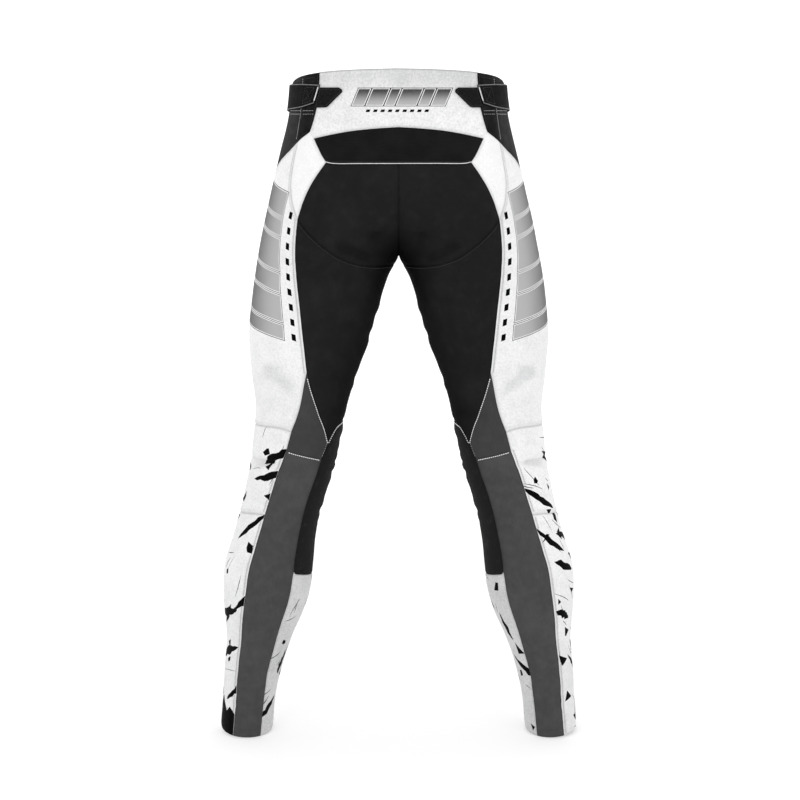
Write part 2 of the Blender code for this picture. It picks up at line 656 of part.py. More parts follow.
def slab(name, places, normals, faces, thickness, colour, roughness):
    """A closed wall: the outer points, the inner ones, and a side all round"""
    count = len(places)
    edges = {}
    for face in faces:
        for a, b in zip(face, face[1:] + face[:1]):
            edges[(a, b)] = edges.get((a, b), 0) + 1
    rim = [(a, b) for a, b in edges if (b, a) not in edges]
    vertices = np.concatenate([places, places - normals * thickness])
    wall = faces + [[count + i for i in reversed(face)] for face in faces]
    wall += [[b, a, count + a, count + b] for a, b in rim]
    mesh = bpy.data.meshes.new(name)
    mesh.from_pydata([tuple(v) for v in vertices], [], wall)
    b = bmesh.new()
    b.from_mesh(mesh)
    loose = [v for v in b.verts if not v.link_faces]
    bmesh.ops.delete(b, geom=loose, context="VERTS")
    bmesh.ops.triangulate(b, faces=b.faces)
    bmesh.ops.recalc_face_normals(b, faces=b.faces)
    b.to_mesh(mesh)
    b.free()
    mesh.shade_smooth()
    mesh.set_sharp_from_angle(angle=CREASED)
    piece = bpy.data.objects.new(name, mesh)
    bpy.context.scene.collection.objects.link(piece)
    mesh.materials.append(finish(name + "_finish", colour, roughness))
    return piece


def finish(name, colour, roughness, metallic=0.0):
    material = bpy.data.materials.new(name)
    material.use_nodes = True
    shader = material.node_tree.nodes["Principled BSDF"]
    shader.inputs["Base Color"].default_value = (*colour, 1)
    shader.inputs["Roughness"].default_value = roughness
    shader.inputs["Metallic"].default_value = metallic
    return material


def panel(name, outline, side, thickness, colour, roughness, lift=0.0, step=STEP_AROUND):
    outline = pulled_in(outline, SEAM_GAP / 2)
    points, faces = triangles_in(outline, step, STEP_UP * step / STEP_AROUND)
    places, normals = lifted(points, side, lift)
    return slab(name, places, normals, faces, thickness, colour, roughness)


def centre_panel(name, seams, thickness, colour, roughness):
    """A panel across the centre of the back, laid out from the centre to both sides"""
    right = chained(seams)
    laid = np.stack([back_end(right[:, 1]) - right[:, 0], right[:, 1]], 1)
    laid[np.abs(laid[:, 0]) < CENTRE_REACH, 0] = 0
    left = laid[::-1] * [-1, 1]
    outline = np.concatenate([laid, left[1:-1]])
    outline = pulled_in(outline, SEAM_GAP / 2)
    points, faces = triangles_in(outline, STEP_AROUND, STEP_UP)
    around = back_end(points[:, 1]) - np.abs(points[:, 0])
    places, normals = lifted(np.stack([around, points[:, 1]], 1), 1)
    middle = np.abs(points[:, 0]) < CENTRE_REACH
    normals[middle, 0] = 0
    places[middle, 0] = 0
    flip = np.where(points[:, 0] < 0, -1, 1)
    places[:, 0] *= flip
    normals[:, 0] *= flip
    return slab(name, places, normals, faces, thickness, colour, roughness)


# What lies on the panels, by its upper and lower edge from one end to the other
STRAP_TOP = [
    ("back", 0.1190, 0.9805), ("back", 0.1500, 0.9815), ("side", 0.000, 0.9730),
    ("side", 0.060, 0.9580), ("front", 0.1230, 0.9540),
]
STRAP_LOW = [
    ("back", 0.1275, 0.9520), ("back", 0.1500, 0.9450), ("side", 0.000, 0.9360),
    ("side", 0.060, 0.9270), ("front", 0.1230, 0.9240),
]
HOOK_OUTLINE = [
    ("back", 0.1190, 0.9765), ("back", 0.0907, 0.9765), ("back", 0.0860, 0.9735),
    ("back", 0.0855, 0.9697), ("back", 0.1085, 0.9470), ("back", 0.1110, 0.9460),
    ("back", 0.1258, 0.9457), ("back", 0.1258, 0.9535),
]
FLY_WIDTH, FLY_LOW, FLY_BEND = 0.038, 0.800, 0.06
FLY_FROM_CENTRE, FLY_FROM_RIM = 0.002, 0.003
FLY_POINTS, FLY_BEND_POINTS = 9, 6
SNAP_RADIUS, SNAP_HEIGHT, SNAP_DOWN, SNAP_GAP = 0.0075, 0.003, 0.018, 0.0006
SNAP_SIDES = 20
# Rings of the cap from its foot up: share of the radius, share of the height
SNAP_RINGS = [(1.0, 0.0), (1.0, 0.55), (0.82, 0.85), (0.5, 1.0)]
STRAP_BLACK, WEBBING_ROUGHNESS, HOOK_ROUGHNESS = (0.02, 0.02, 0.021), 0.7, 0.9
SNAP_METAL, METAL_ROUGHNESS = (0.35, 0.35, 0.36), 0.35
FLAP_ROUGHNESS = 0.55


def strap(name, side):
    top = curve_through([place(*row) for row in STRAP_TOP], LAID_STEP)
    low = curve_through([place(*row) for row in STRAP_LOW], LAID_STEP)
    return panel(name, chained([top, [top[-1], low[-1]], low, [low[0], top[0]]]), side,
                 STRAP_THICKNESS, STRAP_BLACK, WEBBING_ROUGHNESS, LAID_GAP + STRAP_THICKNESS,
                 LAID_STEP)


def strap_hook(name, side):
    outline = np.array([place(*row) for row in HOOK_OUTLINE])
    return panel(name, outline, side, PATCH_THICKNESS, STRAP_BLACK, HOOK_ROUGHNESS,
                 LAID_GAP + PATCH_THICKNESS, LAID_STEP)


def fly_outline():
    """Straight down beside the front centre, back up along a curve that runs into it"""
    top = float(rim_height(front_end(RIM_SIDE))) - FLY_FROM_RIM
    heights = np.linspace(top, FLY_LOW, FLY_POINTS)
    inner = np.stack([front_end(heights) + FLY_FROM_CENTRE, heights], 1)
    turn = np.linspace(0, math.pi / 2, FLY_BEND_POINTS)[1:]
    rising = FLY_LOW + FLY_BEND * (1 - np.cos(turn))
    bend = np.stack([front_end(rising) + FLY_FROM_CENTRE + FLY_WIDTH * np.sin(turn), rising], 1)
    straight = np.linspace(FLY_LOW + FLY_BEND, top, FLY_BEND_POINTS)[1:]
    outer = np.stack([front_end(straight) + FLY_FROM_CENTRE + FLY_WIDTH, straight], 1)
    return np.concatenate([inner, bend, outer])


def waist_snap(name, side):
    """A domed round cap on the flap, square to the cloth"""
    height = float(rim_height(front_end(RIM_SIDE))) - SNAP_DOWN
    spot = np.array([[float(front_end(height)) + FLY_FROM_CENTRE + FLY_WIDTH / 2, height]])
    base, out = lifted(spot, side, LAID_GAP + PATCH_THICKNESS + SNAP_GAP)
    b = bmesh.new()
    rings = []
    for share, rise in SNAP_RINGS:
        ring = []
        for k in range(SNAP_SIDES):
            turn = 2 * math.pi * k / SNAP_SIDES
            ring.append(b.verts.new((SNAP_RADIUS * share * math.cos(turn),
                                     SNAP_RADIUS * share * math.sin(turn), SNAP_HEIGHT * rise)))
        rings.append(ring)
    for low, high in zip(rings, rings[1:]):
        for k in range(SNAP_SIDES):
            following = (k + 1) % SNAP_SIDES
            b.faces.new([low[k], low[following], high[following], high[k]])
    b.faces.new(rings[0][::-1])
    b.faces.new(rings[-1])
    bmesh.ops.triangulate(b, faces=b.faces)
    bmesh.ops.recalc_face_normals(b, faces=b.faces)
    mesh = bpy.data.meshes.new(name)
    b.to_mesh(mesh)
    b.free()
    mesh.shade_smooth()
    mesh.set_sharp_from_angle(angle=CREASED)
    mesh.materials.append(finish(name + "_finish", SNAP_METAL, METAL_ROUGHNESS, 1.0))
    cap = bpy.data.objects.new(name, mesh)
    cap.rotation_mode = "QUATERNION"
    cap.rotation_quaternion = Vector(out[0]).to_track_quat("Z", "Y")
    cap.location = base[0]
    bpy.context.scene.collection.objects.link(cap)


def build():
    for old in list(bpy.data.objects):
        bpy.data.objects.remove(old)
    seams = made_seams(SEAM_STEP)
    for name, (parts, colour, roughness) in CENTRE_PANELS.items():
        centre_panel(name, [seams[s] for s in parts], WALL, colour, roughness)
    for hand, side in (("right", 1), ("left", -1)):
        for name, (layout, parts, colour, roughness) in PANELS.items():
            drawn = [seams[s] for s in parts]
            if layout == "round":
                drawn = [past_inseam(seam) for seam in drawn]
            outline = chained(drawn)
            panel(f"{name}_{hand}", outline, side, WALL, colour, roughness)
        strap(f"strap_{hand}", side)
        strap_hook(f"strap_hook_{hand}", side)
    panel("fly_flap", fly_outline(), -1, PATCH_THICKNESS, WHITE, FLAP_ROUGHNESS,
          LAID_GAP + PATCH_THICKNESS, LAID_STEP)
    waist_snap("waist_snap", -1)


build()
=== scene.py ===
"""Dresses the motorcycle trousers: every panel again as a fine cloth wall with its creases, seams,
stitching and print, on the same surface that the solids lie on. Metres, +Z up."""
import math
import random

import bmesh
import bpy
import numpy as np
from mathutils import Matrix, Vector, noise
from mathutils.geometry import delaunay_2d_cdt


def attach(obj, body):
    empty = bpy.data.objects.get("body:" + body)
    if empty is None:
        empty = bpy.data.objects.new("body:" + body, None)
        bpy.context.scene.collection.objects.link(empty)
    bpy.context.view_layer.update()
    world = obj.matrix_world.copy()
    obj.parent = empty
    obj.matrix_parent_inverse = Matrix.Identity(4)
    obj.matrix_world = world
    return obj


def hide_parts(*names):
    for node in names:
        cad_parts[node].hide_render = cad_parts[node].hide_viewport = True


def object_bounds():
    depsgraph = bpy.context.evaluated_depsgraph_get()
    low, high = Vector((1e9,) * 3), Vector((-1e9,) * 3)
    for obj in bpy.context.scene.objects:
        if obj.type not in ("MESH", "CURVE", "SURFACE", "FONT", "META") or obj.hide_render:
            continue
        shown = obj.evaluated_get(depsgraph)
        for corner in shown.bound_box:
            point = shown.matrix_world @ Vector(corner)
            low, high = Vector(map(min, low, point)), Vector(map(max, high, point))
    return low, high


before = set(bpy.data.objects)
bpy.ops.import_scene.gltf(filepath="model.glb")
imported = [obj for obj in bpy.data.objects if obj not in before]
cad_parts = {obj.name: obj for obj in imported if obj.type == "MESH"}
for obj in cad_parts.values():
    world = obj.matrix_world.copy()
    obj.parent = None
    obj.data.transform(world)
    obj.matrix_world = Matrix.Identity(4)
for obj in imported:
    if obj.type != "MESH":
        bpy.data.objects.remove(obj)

CAD_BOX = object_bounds()

# Driving sizes of the garment
BELT_HEIGHT = 0.960  # of the origin, in the middle of the straps
FORK_HEIGHT = 0.720  # of the crotch point
RISE_CURVE = 0.125  # height over which the seat seam curves out from the crotch to the back
LEVEL_SEAM = math.radians(4)  # fold of the centre seams where the cloth spans them flat
WALL = 0.0018
SEAM_GAP = 0.0001
LAID_GAP = 0.0010  # under what lies on a panel
CENTRE_REACH = 0.0002  # within which a place counts as on the centre line
MARK_CLEARANCE = 0.25  # share of the mesh spacing kept free beside the edge of a print
CENTRE_SNAP = 0.0005  # within which the edges of the halves are closed up
CENTRE_HOLD = 0.010  # within which the halves keep to the centre seam
STRAP_THICKNESS = 0.0028
PATCH_THICKNESS = 0.0016

BARE, LINING, BLACK_INK, FADED_INK = 0, 1, 2, 3  # places of a wall's materials

# Mesh spacing
SEAM_STEP = 0.0042
CLOTH_STEP = 0.0050
LAID_STEP = 0.0040
EDGE_RINGS = (0.0011, 0.0030)  # rows of points beside each seam

# The way cloth meets at a seam
TURN_DEPTH, TURN_REACH = 0.0011, 0.0023
PUCKER_DEPTH, PUCKER_REACH, PUCKER_LENGTH = 0.00045, 0.0090, 0.011

# Heights and widths called 'seen' are those that show from this place behind the garment, which
# looks down at the middle of its height. They are measured square to that line, through the middle
SEEN_FROM_DISTANCE = 3.00
SEEN_FROM_HEIGHT = 0.945
LOOKED_AT_HEIGHT = 0.500
SEEN_FROM_SIDE = 0.002
LENS, SENSOR = 89.5, 36.0

# Sections of a half: seen height, seen outside and inside edge, backmost and frontmost line
SECTIONS = [
    # height, outside, inside, back, front
    (0.000, 0.271, 0.192, -0.068, 0.027),
    (0.050, 0.268, 0.188, -0.069, 0.028),
    (0.100, 0.265, 0.177, -0.075, 0.030),
    (0.145, 0.262, 0.162, -0.083, 0.033),
    (0.180, 0.265, 0.146, -0.089, 0.038),
    (0.215, 0.267, 0.135, -0.093, 0.042),
    (0.255, 0.264, 0.130, -0.093, 0.047),
    (0.290, 0.253, 0.127, -0.089, 0.052),
    (0.325, 0.243, 0.121, -0.083, 0.058),
    (0.365, 0.234, 0.109, -0.077, 0.066),
    (0.400, 0.227, 0.098, -0.073, 0.072),
    (0.440, 0.222, 0.089, -0.070, 0.078),
    (0.490, 0.218, 0.079, -0.072, 0.082),
    (0.545, 0.224, 0.063, -0.080, 0.088),
    (0.600, 0.228, 0.044, -0.089, 0.094),
    (0.655, 0.224, 0.027, -0.098, 0.099),
    (0.690, 0.2195, 0.0155, -0.106, 0.102),
    (0.721, 0.2145, 0.0, -0.114, 0.104),
    (0.765, 0.206, 0.0, -0.124, 0.106),
    (0.820, 0.194, 0.0, -0.127, 0.106),
    (0.875, 0.181, 0.0, -0.117, 0.105),
    (0.912, 0.172, 0.0, -0.109, 0.104),
    (0.942, 0.1660, 0.0, -0.105, 0.103),
    (0.990, 0.1615, 0.0, -0.103, 0.101),
]
# How far out the back and front stand fullest above the crotch
FULLEST = [
    # height, across
    (0.721, 0.107),
    (0.765, 0.093),
    (0.820, 0.078),
    (0.875, 0.058),
    (0.912, 0.045),
    (0.942, 0.036),
    (0.990, 0.030),
]

# Edges of the whole garment
RIM_SIDE = 0.975  # height of the rim over the outside of the leg
RIM_UP_BACK, RIM_BACK_RUN = 0.023, 0.07  # how far it rises to the back, and how soon
RIM_DOWN_FRONT, RIM_FRONT_RUN = 0.020, 0.06
HEM_HEIGHT, HEM_UP_FRONT, HEM_UP_OUTSIDE = -0.007, 0.10, 0.05  # height, and slope each way

# Where seams meet. A 'back' place is as seen from behind, a 'front' one is level width and
# height, and 'rim', 'hem', 'back centre', 'inseam' and 'front centre' places lie on that edge
CORNERS = {
    # name: (way of measuring, across or None, height or None)
    "rim centre": ("rim back centre", None, None),
    "rim yoke": ("rim", 0.1150, None),
    "rim side back": ("rim", 0.1385, None),
    "rim front": ("rim front", 0.110, None),
    "rim front centre": ("rim front centre", None, None),
    "yoke end": ("back", 0.1365, 0.9095),
    "stretch corner": ("back", 0.1300, 0.8990),
    "stretch top": ("back", 0.0, 0.9163),
    "stretch bottom": ("back", 0.0, 0.8607),
    "seat top": ("back", 0.1110, 0.8630),
    "side back low": ("back", 0.1548, 0.8935),
    "waist side low": ("front", 0.143, 0.806),
    "hip end": ("back", 0.1548, 0.7755),
    "arc end": ("inseam", None, 0.7080),
    "knee point": ("back", 0.1403, 0.5410),
    "knee seam back": ("back", 0.1645, 0.4510),
    "knee seam front": ("front", 0.190, 0.470),
    "knee pit": ("back", 0.1078, 0.4345),
    "calf inside top": ("back", 0.1174, 0.4090),
    "calf outside top": ("back", 0.1716, 0.4223),
    "grip top": ("inseam", None, 0.4680),
    "grip front top": ("front", 0.117, 0.472),
    "grip front bottom": ("front", 0.163, 0.238),
    "grip bottom": ("back", 0.1590, 0.2375),
    "shin seam back": ("back", 0.2045, 0.3250),
    "shin seam front": ("front", 0.143, 0.330),
    "hem calf outside": ("hem back", 0.2540, None),
    "hem calf inside": ("hem back", 0.2115, None),
    "hem front": ("hem front", 0.218, None),
    "fork back": ("back centre", None, FORK_HEIGHT),
    "fork front": ("front centre", None, FORK_HEIGHT),
    "grip top front": ("front inseam", None, 0.4680),
}

# Seams of a half: two corners, and the places that the seam passes between them, each as
# (way of measuring, across, height)
SEAMS = {
    "rim back": ("rim centre", "rim yoke", "rim"),
    "rim waist back": ("rim yoke", "rim side back", "rim"),
    "rim waist side": ("rim side back", "rim front", "rim"),
    "rim thigh": ("rim front", "rim front centre", "rim"),
    "yoke side": ("rim yoke", "yoke end", [("back", 0.1273, 0.9392)]),
    "yoke corner": ("yoke end", "stretch corner", []),
    "stretch arch": ("stretch top", "stretch corner", [
        ("back", 0.0300, 0.9145), ("back", 0.0680, 0.9110), ("back", 0.1010, 0.9055),
    ]),
    "stretch side": ("stretch corner", "seat top", [
        ("back", 0.1230, 0.8840), ("back", 0.1180, 0.8735),
    ]),
    "stretch lower": ("seat top", "stretch bottom", [
        ("back", 0.0980, 0.8607), ("back", 0.0600, 0.8607), ("back", 0.0250, 0.8607),
    ]),
    "waist back low": ("yoke end", "side back low", [("back", 0.1460, 0.9025)]),
    "waist side edge": ("side back low", "waist side low", [
        ("back", 0.1700, 0.8775), ("side", -0.010, 0.850), ("side", 0.045, 0.824),
    ]),
    "side back upper": ("rim side back", "side back low", [("back", 0.1480, 0.9390)]),
    "side back": ("side back low", "hip end", [
        ("back", 0.1610, 0.8600), ("back", 0.1648, 0.8310), ("back", 0.1632, 0.8020),
    ]),
    "waist front": ("rim front", "waist side low", [("front", 0.125, 0.880)]),
    "thigh front": ("waist side low", "knee seam front", [
        ("front", 0.172, 0.700), ("front", 0.186, 0.580),
    ]),
    "seat edge": ("seat top", "hip end", [("back", 0.1300, 0.8355), ("back", 0.1440, 0.8080)]),
    "thigh edge": ("hip end", "knee point", [
        ("back", 0.1585, 0.7250), ("back", 0.1530, 0.6550), ("back", 0.1460, 0.5900),
    ]),
    "seat arc": ("hip end", "arc end", [
        ("back", 0.1388, 0.7547), ("back", 0.1098, 0.7287), ("back", 0.0830, 0.7127),
        ("back", 0.0450, 0.7035),
    ]),
    "seat centre": ("stretch bottom", "fork back", "back centre"),
    "seat inseam": ("fork back", "arc end", "inseam"),
    "inseam back": ("arc end", "grip top", "inseam"),
    "front centre": ("rim front centre", "fork front", "front centre"),
    "inseam front": ("fork front", "grip top front", "front inseam"),
    "knee inside": ("knee point", "knee pit", [("back", 0.1245, 0.4880)]),
    "knee outside": ("knee point", "knee seam back", []),
    "knee outside low": ("knee seam back", "calf outside top", []),
    "knee pit seam": ("knee pit", "calf inside top", []),
    "knee crease": ("calf inside top", "calf outside top", [("back", 0.1460, 0.4150)]),
    "grip top back": ("knee pit", "grip top", [("back", 0.1000, 0.4500), ("back", 0.0920, 0.4610)]),
    "grip top seam": ("grip top front", "grip front top", []),
    "calf inside": ("calf inside top", "grip bottom", [
        ("back", 0.1233, 0.3900), ("back", 0.1413, 0.3368), ("back", 0.1530, 0.2860),
    ]),
    "calf inside low": ("grip bottom", "hem calf inside", [
        ("back", 0.1673, 0.1935), ("back", 0.1862, 0.1325), ("back", 0.2013, 0.0700),
    ]),
    "calf outside": ("calf outside top", "shin seam back", [("back", 0.1856, 0.3855)]),
    "calf outside low": ("shin seam back", "hem calf outside", [
        ("back", 0.2158, 0.2865), ("back", 0.2325, 0.2148), ("back", 0.2432, 0.1127),
    ]),
    "grip front": ("grip front top", "shin seam front", [("front", 0.124, 0.410)]),
    "grip front low": ("shin seam front", "grip front bottom", [("front", 0.158, 0.275)]),
    "shin front": ("grip front bottom", "hem front", [("front", 0.192, 0.130)]),
    "grip lower": ("grip bottom", "grip front bottom", [
        ("back", 0.1530, 0.2335), ("inseam", None, 0.2360),
    ]),
    "knee seam side": ("knee seam back", "knee seam front", [
        ("back", 0.1900, 0.4580), ("side", 0.010, 0.4640), ("side", 0.050, 0.468),
    ]),
    "knee seam inner": ("knee seam front", "grip front top", [("front", 0.155, 0.468)]),
    "shin seam": ("shin seam back", "shin seam front", [
        ("back", 0.2250, 0.3270), ("side", -0.005, 0.329), ("side", 0.035, 0.330),
        ("front", 0.200, 0.330),
    ]),
    "hem calf": ("hem calf outside", "hem calf inside", "hem"),
    "hem inside": ("hem calf inside", "hem front", "hem through inseam"),
    "hem outside": ("hem calf outside", "hem front", "hem"),
}

# Panels of a half: how the outline is laid out, the seams round it, cloth, what it hangs from
PANELS = {
    # name: (layout, seams, cloth, panels above)
    "waist_back": ("half", ["rim waist back", "side back upper", "waist back low", "yoke side"],
                   "waist cloth", []),
    "waist_side": ("half", ["rim waist side", "waist front", "waist side edge",
                            "side back upper"], "side cloth", []),
    "hip_back": ("half", ["yoke corner", "stretch side", "seat edge", "side back",
                          "waist back low"], "hip cloth", ["waist_back"]),
    "seat": ("half", ["stretch lower", "seat edge", "seat arc", "seat inseam", "seat centre"],
             "thigh cloth", ["hip_back"]),
    "thigh_back": ("half", ["seat arc", "thigh edge", "knee inside", "grip top back",
                            "inseam back"], "thigh cloth", ["seat"]),
    "side_thigh": ("half", ["side back", "thigh edge", "knee outside", "knee seam side",
                            "thigh front", "waist side edge"], "shell cloth", ["waist_side"]),
    "front_thigh": ("half", ["rim thigh", "front centre", "inseam front", "grip top seam",
                             "knee seam inner", "thigh front", "waist front"],
                    "shell cloth", []),
    "knee_back": ("half", ["knee inside", "knee pit seam", "knee crease", "knee outside low",
                           "knee outside"], "knee stretch", ["thigh_back"]),
    "calf": ("half", ["knee crease", "calf inside", "calf inside low", "hem calf",
                      "calf outside low", "calf outside"], "ribbed stretch", ["knee_back"]),
    "knee_grip": ("round", ["grip top back", "grip top seam", "grip front", "grip front low",
                            "grip lower", "calf inside", "knee pit seam"],
                  "grip leather", ["thigh_back"]),
    "inner_shin": ("round", ["grip lower", "shin front", "hem inside", "calf inside low"],
                   "inner shell painted shade", ["knee_grip"]),
    "outer_knee": ("half", ["knee seam side", "knee seam inner", "grip front", "shin seam",
                            "calf outside", "knee outside low"], "shell cloth", ["side_thigh"]),
    "outer_shin": ("half", ["shin seam", "grip front low", "shin front", "hem outside",
                            "calf outside low"], "shell cloth", ["outer_knee"]),
}
# Panels across the centre of the back
CENTRE_PANELS = {
    "back_yoke": (["rim back", "yoke side", "yoke corner", "stretch arch"], "yoke cloth", []),
    "stretch_panel": (["stretch arch", "stretch side", "stretch lower"], "panel satin",
                      ["back_yoke"]),
}

# Folds: soft troughs (negative) and ridges along a line between two places. The first ones are
# those of the solids
FOLDS = [
    # way of measuring, across, height, to across, to height, half width, depth
    ("back", 0.2130, 0.5550, 0.1500, 0.5080, 0.016, -0.0030),
    ("back", 0.2140, 0.6250, 0.1700, 0.5950, 0.018, -0.0022),
    ("back", 0.0400, 0.7120, 0.1050, 0.7450, 0.011, -0.0035),
    ("back", 0.0250, 0.7360, 0.0560, 0.7620, 0.010, -0.0030),
    ("back", 0.0900, 0.5450, 0.1250, 0.5550, 0.012, -0.0022),
    ("back", 0.0900, 0.4850, 0.1300, 0.4750, 0.011, -0.0030),
    ("back", 0.1250, 0.4420, 0.1750, 0.4500, 0.010, -0.0028),
    ("back", 0.1250, 0.3950, 0.1750, 0.4020, 0.010, -0.0022),
    ("front", 0.0300, 0.7500, 0.1250, 0.7850, 0.012, -0.0035),
    ("front", 0.0350, 0.7250, 0.1300, 0.7300, 0.012, -0.0030),
    ("front", 0.1200, 0.4300, 0.2050, 0.4250, 0.013, -0.0026),
    ("front", 0.1300, 0.3700, 0.2150, 0.3750, 0.013, -0.0026),
    ("front", 0.1950, 0.0900, 0.2500, 0.0750, 0.011, -0.0024),
    ("back", 0.1950, 0.0800, 0.2500, 0.0900, 0.011, -0.0022),
]
CREASES = [
    # way of measuring, across, height, to across, to height, half width, depth
    ("back", 0.2130, 0.5550, 0.1500, 0.5080, 0.0090, -0.0012),
    ("back", 0.0120, 0.7580, 0.0420, 0.7480, 0.0045, -0.0026),
    ("back", 0.0380, 0.7100, 0.1000, 0.7360, 0.0050, -0.0029),
    ("back", 0.0300, 0.6880, 0.0850, 0.7050, 0.0060, -0.0021),
    ("back", 0.0420, 0.6550, 0.1000, 0.6850, 0.0080, -0.0021),
    ("back", 0.0900, 0.6350, 0.1450, 0.6620, 0.0100, 0.0019),
    ("back", 0.0700, 0.5900, 0.1250, 0.5750, 0.0090, -0.0019),
    ("back", 0.1000, 0.5150, 0.1350, 0.5250, 0.0060, -0.0019),
    ("back", 0.2180, 0.5280, 0.1600, 0.5620, 0.0080, -0.0021),
    ("back", 0.2120, 0.5000, 0.1650, 0.4880, 0.0070, -0.0019),
    ("back", 0.2180, 0.6700, 0.1750, 0.7000, 0.0100, -0.0016),
    ("back", 0.1300, 0.4580, 0.1620, 0.4650, 0.0050, -0.0019),
    ("back", 0.1320, 0.3820, 0.1800, 0.3760, 0.0060, -0.0019),
    ("back", 0.1500, 0.3450, 0.1950, 0.3550, 0.0070, -0.0014),
    ("back", 0.2300, 0.3950, 0.1950, 0.4050, 0.0060, -0.0019),
    ("back", 0.2360, 0.3550, 0.2000, 0.3480, 0.0060, -0.0018),
    ("back", 0.2050, 0.1150, 0.2380, 0.1220, 0.0060, -0.0016),
    ("back", 0.2120, 0.0560, 0.2500, 0.0500, 0.0060, -0.0019),
    ("back", 0.2200, 0.0300, 0.2550, 0.0360, 0.0050, -0.0014),
    ("back", 0.1350, 0.9250, 0.1500, 0.8850, 0.0060, -0.0013),
    ("front", 0.0200, 0.7750, 0.0900, 0.8200, 0.0080, -0.0026),
    ("front", 0.0250, 0.7050, 0.1000, 0.7000, 0.0080, -0.0026),
    ("front", 0.1000, 0.6600, 0.1850, 0.6800, 0.0100, -0.0019),
    ("front", 0.1350, 0.4000, 0.2100, 0.3980, 0.0070, -0.0022),
    ("front", 0.1300, 0.4500, 0.1980, 0.4550, 0.0070, -0.0022),
    ("front", 0.1850, 0.2000, 0.2500, 0.2050, 0.0090, -0.0016),
    ("front", 0.2000, 0.0560, 0.2500, 0.0450, 0.0060, -0.0019),
    ("back", 0.2280, 0.4160, 0.1760, 0.4020, 0.0045, -0.0045),
    ("back", 0.2250, 0.3980, 0.1900, 0.4100, 0.0050, -0.0018),
    ("back", 0.0520, 0.6450, 0.0760, 0.6560, 0.0070, -0.0026),
    ("back", 0.0600, 0.6180, 0.0860, 0.6120, 0.0080, -0.0024),
    ("back", 0.0740, 0.5650, 0.0960, 0.5720, 0.0070, -0.0026),
    ("back", 0.0800, 0.5380, 0.1000, 0.5320, 0.0070, -0.0022),
]
# Cross ridges along the inseam: lowest and highest, length of wave, depth and reach
GATHERS = [
    (0.300, 0.500, 0.0215, 0.0015, 0.070),
    (0.505, 0.700, 0.0430, 0.0018, 0.060),
]
GATHER_FADE = 0.04
GATHER_SWAY, GATHER_SWAY_RATE = 0.35, 61  # unevenness of the wave's length and of its depth
GATHER_SWELL, GATHER_SWELL_RATE = 0.4, 97
CENTRE_CREASE_TOP, CENTRE_CREASE_WIDE, CENTRE_CREASE_DEEP = 0.845, 0.0042, 0.0040
CENTRE_CREASE_SPREAD = 2.5  # how much wider it gets
# Unevenness of worn cloth: fineness, depth and shift of its noise
UNEVEN = [(9.0, 0.0011, (0.0, 0.0, 0.0)), (31.0, 0.00045, (5.0, 1.0, 3.0))]


def columns(table):
    return np.array(table, dtype=float).T


def smooth_table(at, heights, values):
    """The value at a height, on a smooth curve through the rows of a table"""
    at = np.clip(np.asarray(at, dtype=float), heights[0], heights[-1])
    slopes = np.gradient(values, heights)
    low = np.clip(np.searchsorted(heights, at, side="right") - 1, 0, len(heights) - 2)
    span = heights[low + 1] - heights[low]
    s = (at - heights[low]) / span
    return ((1 + 2 * s) * (1 - s) ** 2 * values[low] + s * (1 - s) ** 2 * span * slopes[low]
            + s * s * (3 - 2 * s) * values[low + 1] - s * s * (1 - s) * span * slopes[low + 1])


LOOK_DOWN = math.atan2(SEEN_FROM_HEIGHT - LOOKED_AT_HEIGHT, SEEN_FROM_DISTANCE)
LOOK_LENGTH = math.hypot(SEEN_FROM_HEIGHT - LOOKED_AT_HEIGHT, SEEN_FROM_DISTANCE)


def true_place(across, height, depth):
    """Width and height of a place at a known depth that is seen at a width and height"""
    up = height - LOOKED_AT_HEIGHT
    # Down the line of sight from the eye, to where it meets the upright plane at that depth
    fall = (up * math.cos(LOOK_DOWN) - LOOK_LENGTH * math.sin(LOOK_DOWN)) / (
        up * math.sin(LOOK_DOWN) + LOOK_LENGTH * math.cos(LOOK_DOWN))
    run = SEEN_FROM_DISTANCE + depth
    ahead = run * (math.cos(LOOK_DOWN) - fall * math.sin(LOOK_DOWN))
    return across * ahead / LOOK_LENGTH, SEEN_FROM_HEIGHT + fall * run


def true_sections():
    rows = []
    for height, outside, inside, back, front in SECTIONS:
        out, level = true_place(outside, height, (back + front) / 2)
        rows.append((level, out, true_place(inside, height, (back + front) / 2)[0], back, front))
    return columns(rows)


TINY, SMALLEST = 1e-9, 1e-12
HEIGHTS, OUTSIDE, INSIDE, BACK, FRONT = true_sections()
FULL_HEIGHTS, FULL_ACROSS = columns(FULLEST)
FULL_FROM = 0.600  # height from which the fullest line moves over from the middle of the leg


def section(height):
    """Centre, reach and end angle of the level section at a height: two half ellipses on one
    centre, cut off at the centre seam above the crotch"""
    height = np.asarray(height, dtype=float)
    outside = smooth_table(height, HEIGHTS, OUTSIDE)
    inside = np.where(height < FORK_HEIGHT, smooth_table(height, HEIGHTS, INSIDE), 0.0)
    inside = np.maximum(inside, 0.0)
    back = smooth_table(height, HEIGHTS, BACK)
    front = smooth_table(height, HEIGHTS, FRONT)
    over = np.clip((height - FORK_HEIGHT) / RISE_CURVE, 0, 1)
    end = np.maximum(math.pi / 2 * (1 - np.sqrt(over)), LEVEL_SEAM)
    above = smooth_table(height, FULL_HEIGHTS, FULL_ACROSS)
    share = np.clip((height - FULL_FROM) / (FORK_HEIGHT - FULL_FROM), 0, 1)
    centre = np.where(height < FORK_HEIGHT, (outside + inside) / 2 * (1 - share)
                      + share * (above + inside / 2), above)
    reach_in = (centre - inside) / np.sin(end)
    middle = (front + back) / 2
    return dict(centre=centre, out=outside - centre, inward=reach_in, middle=middle,
                back=middle - back, front=front - middle, end=math.pi / 2 + end)


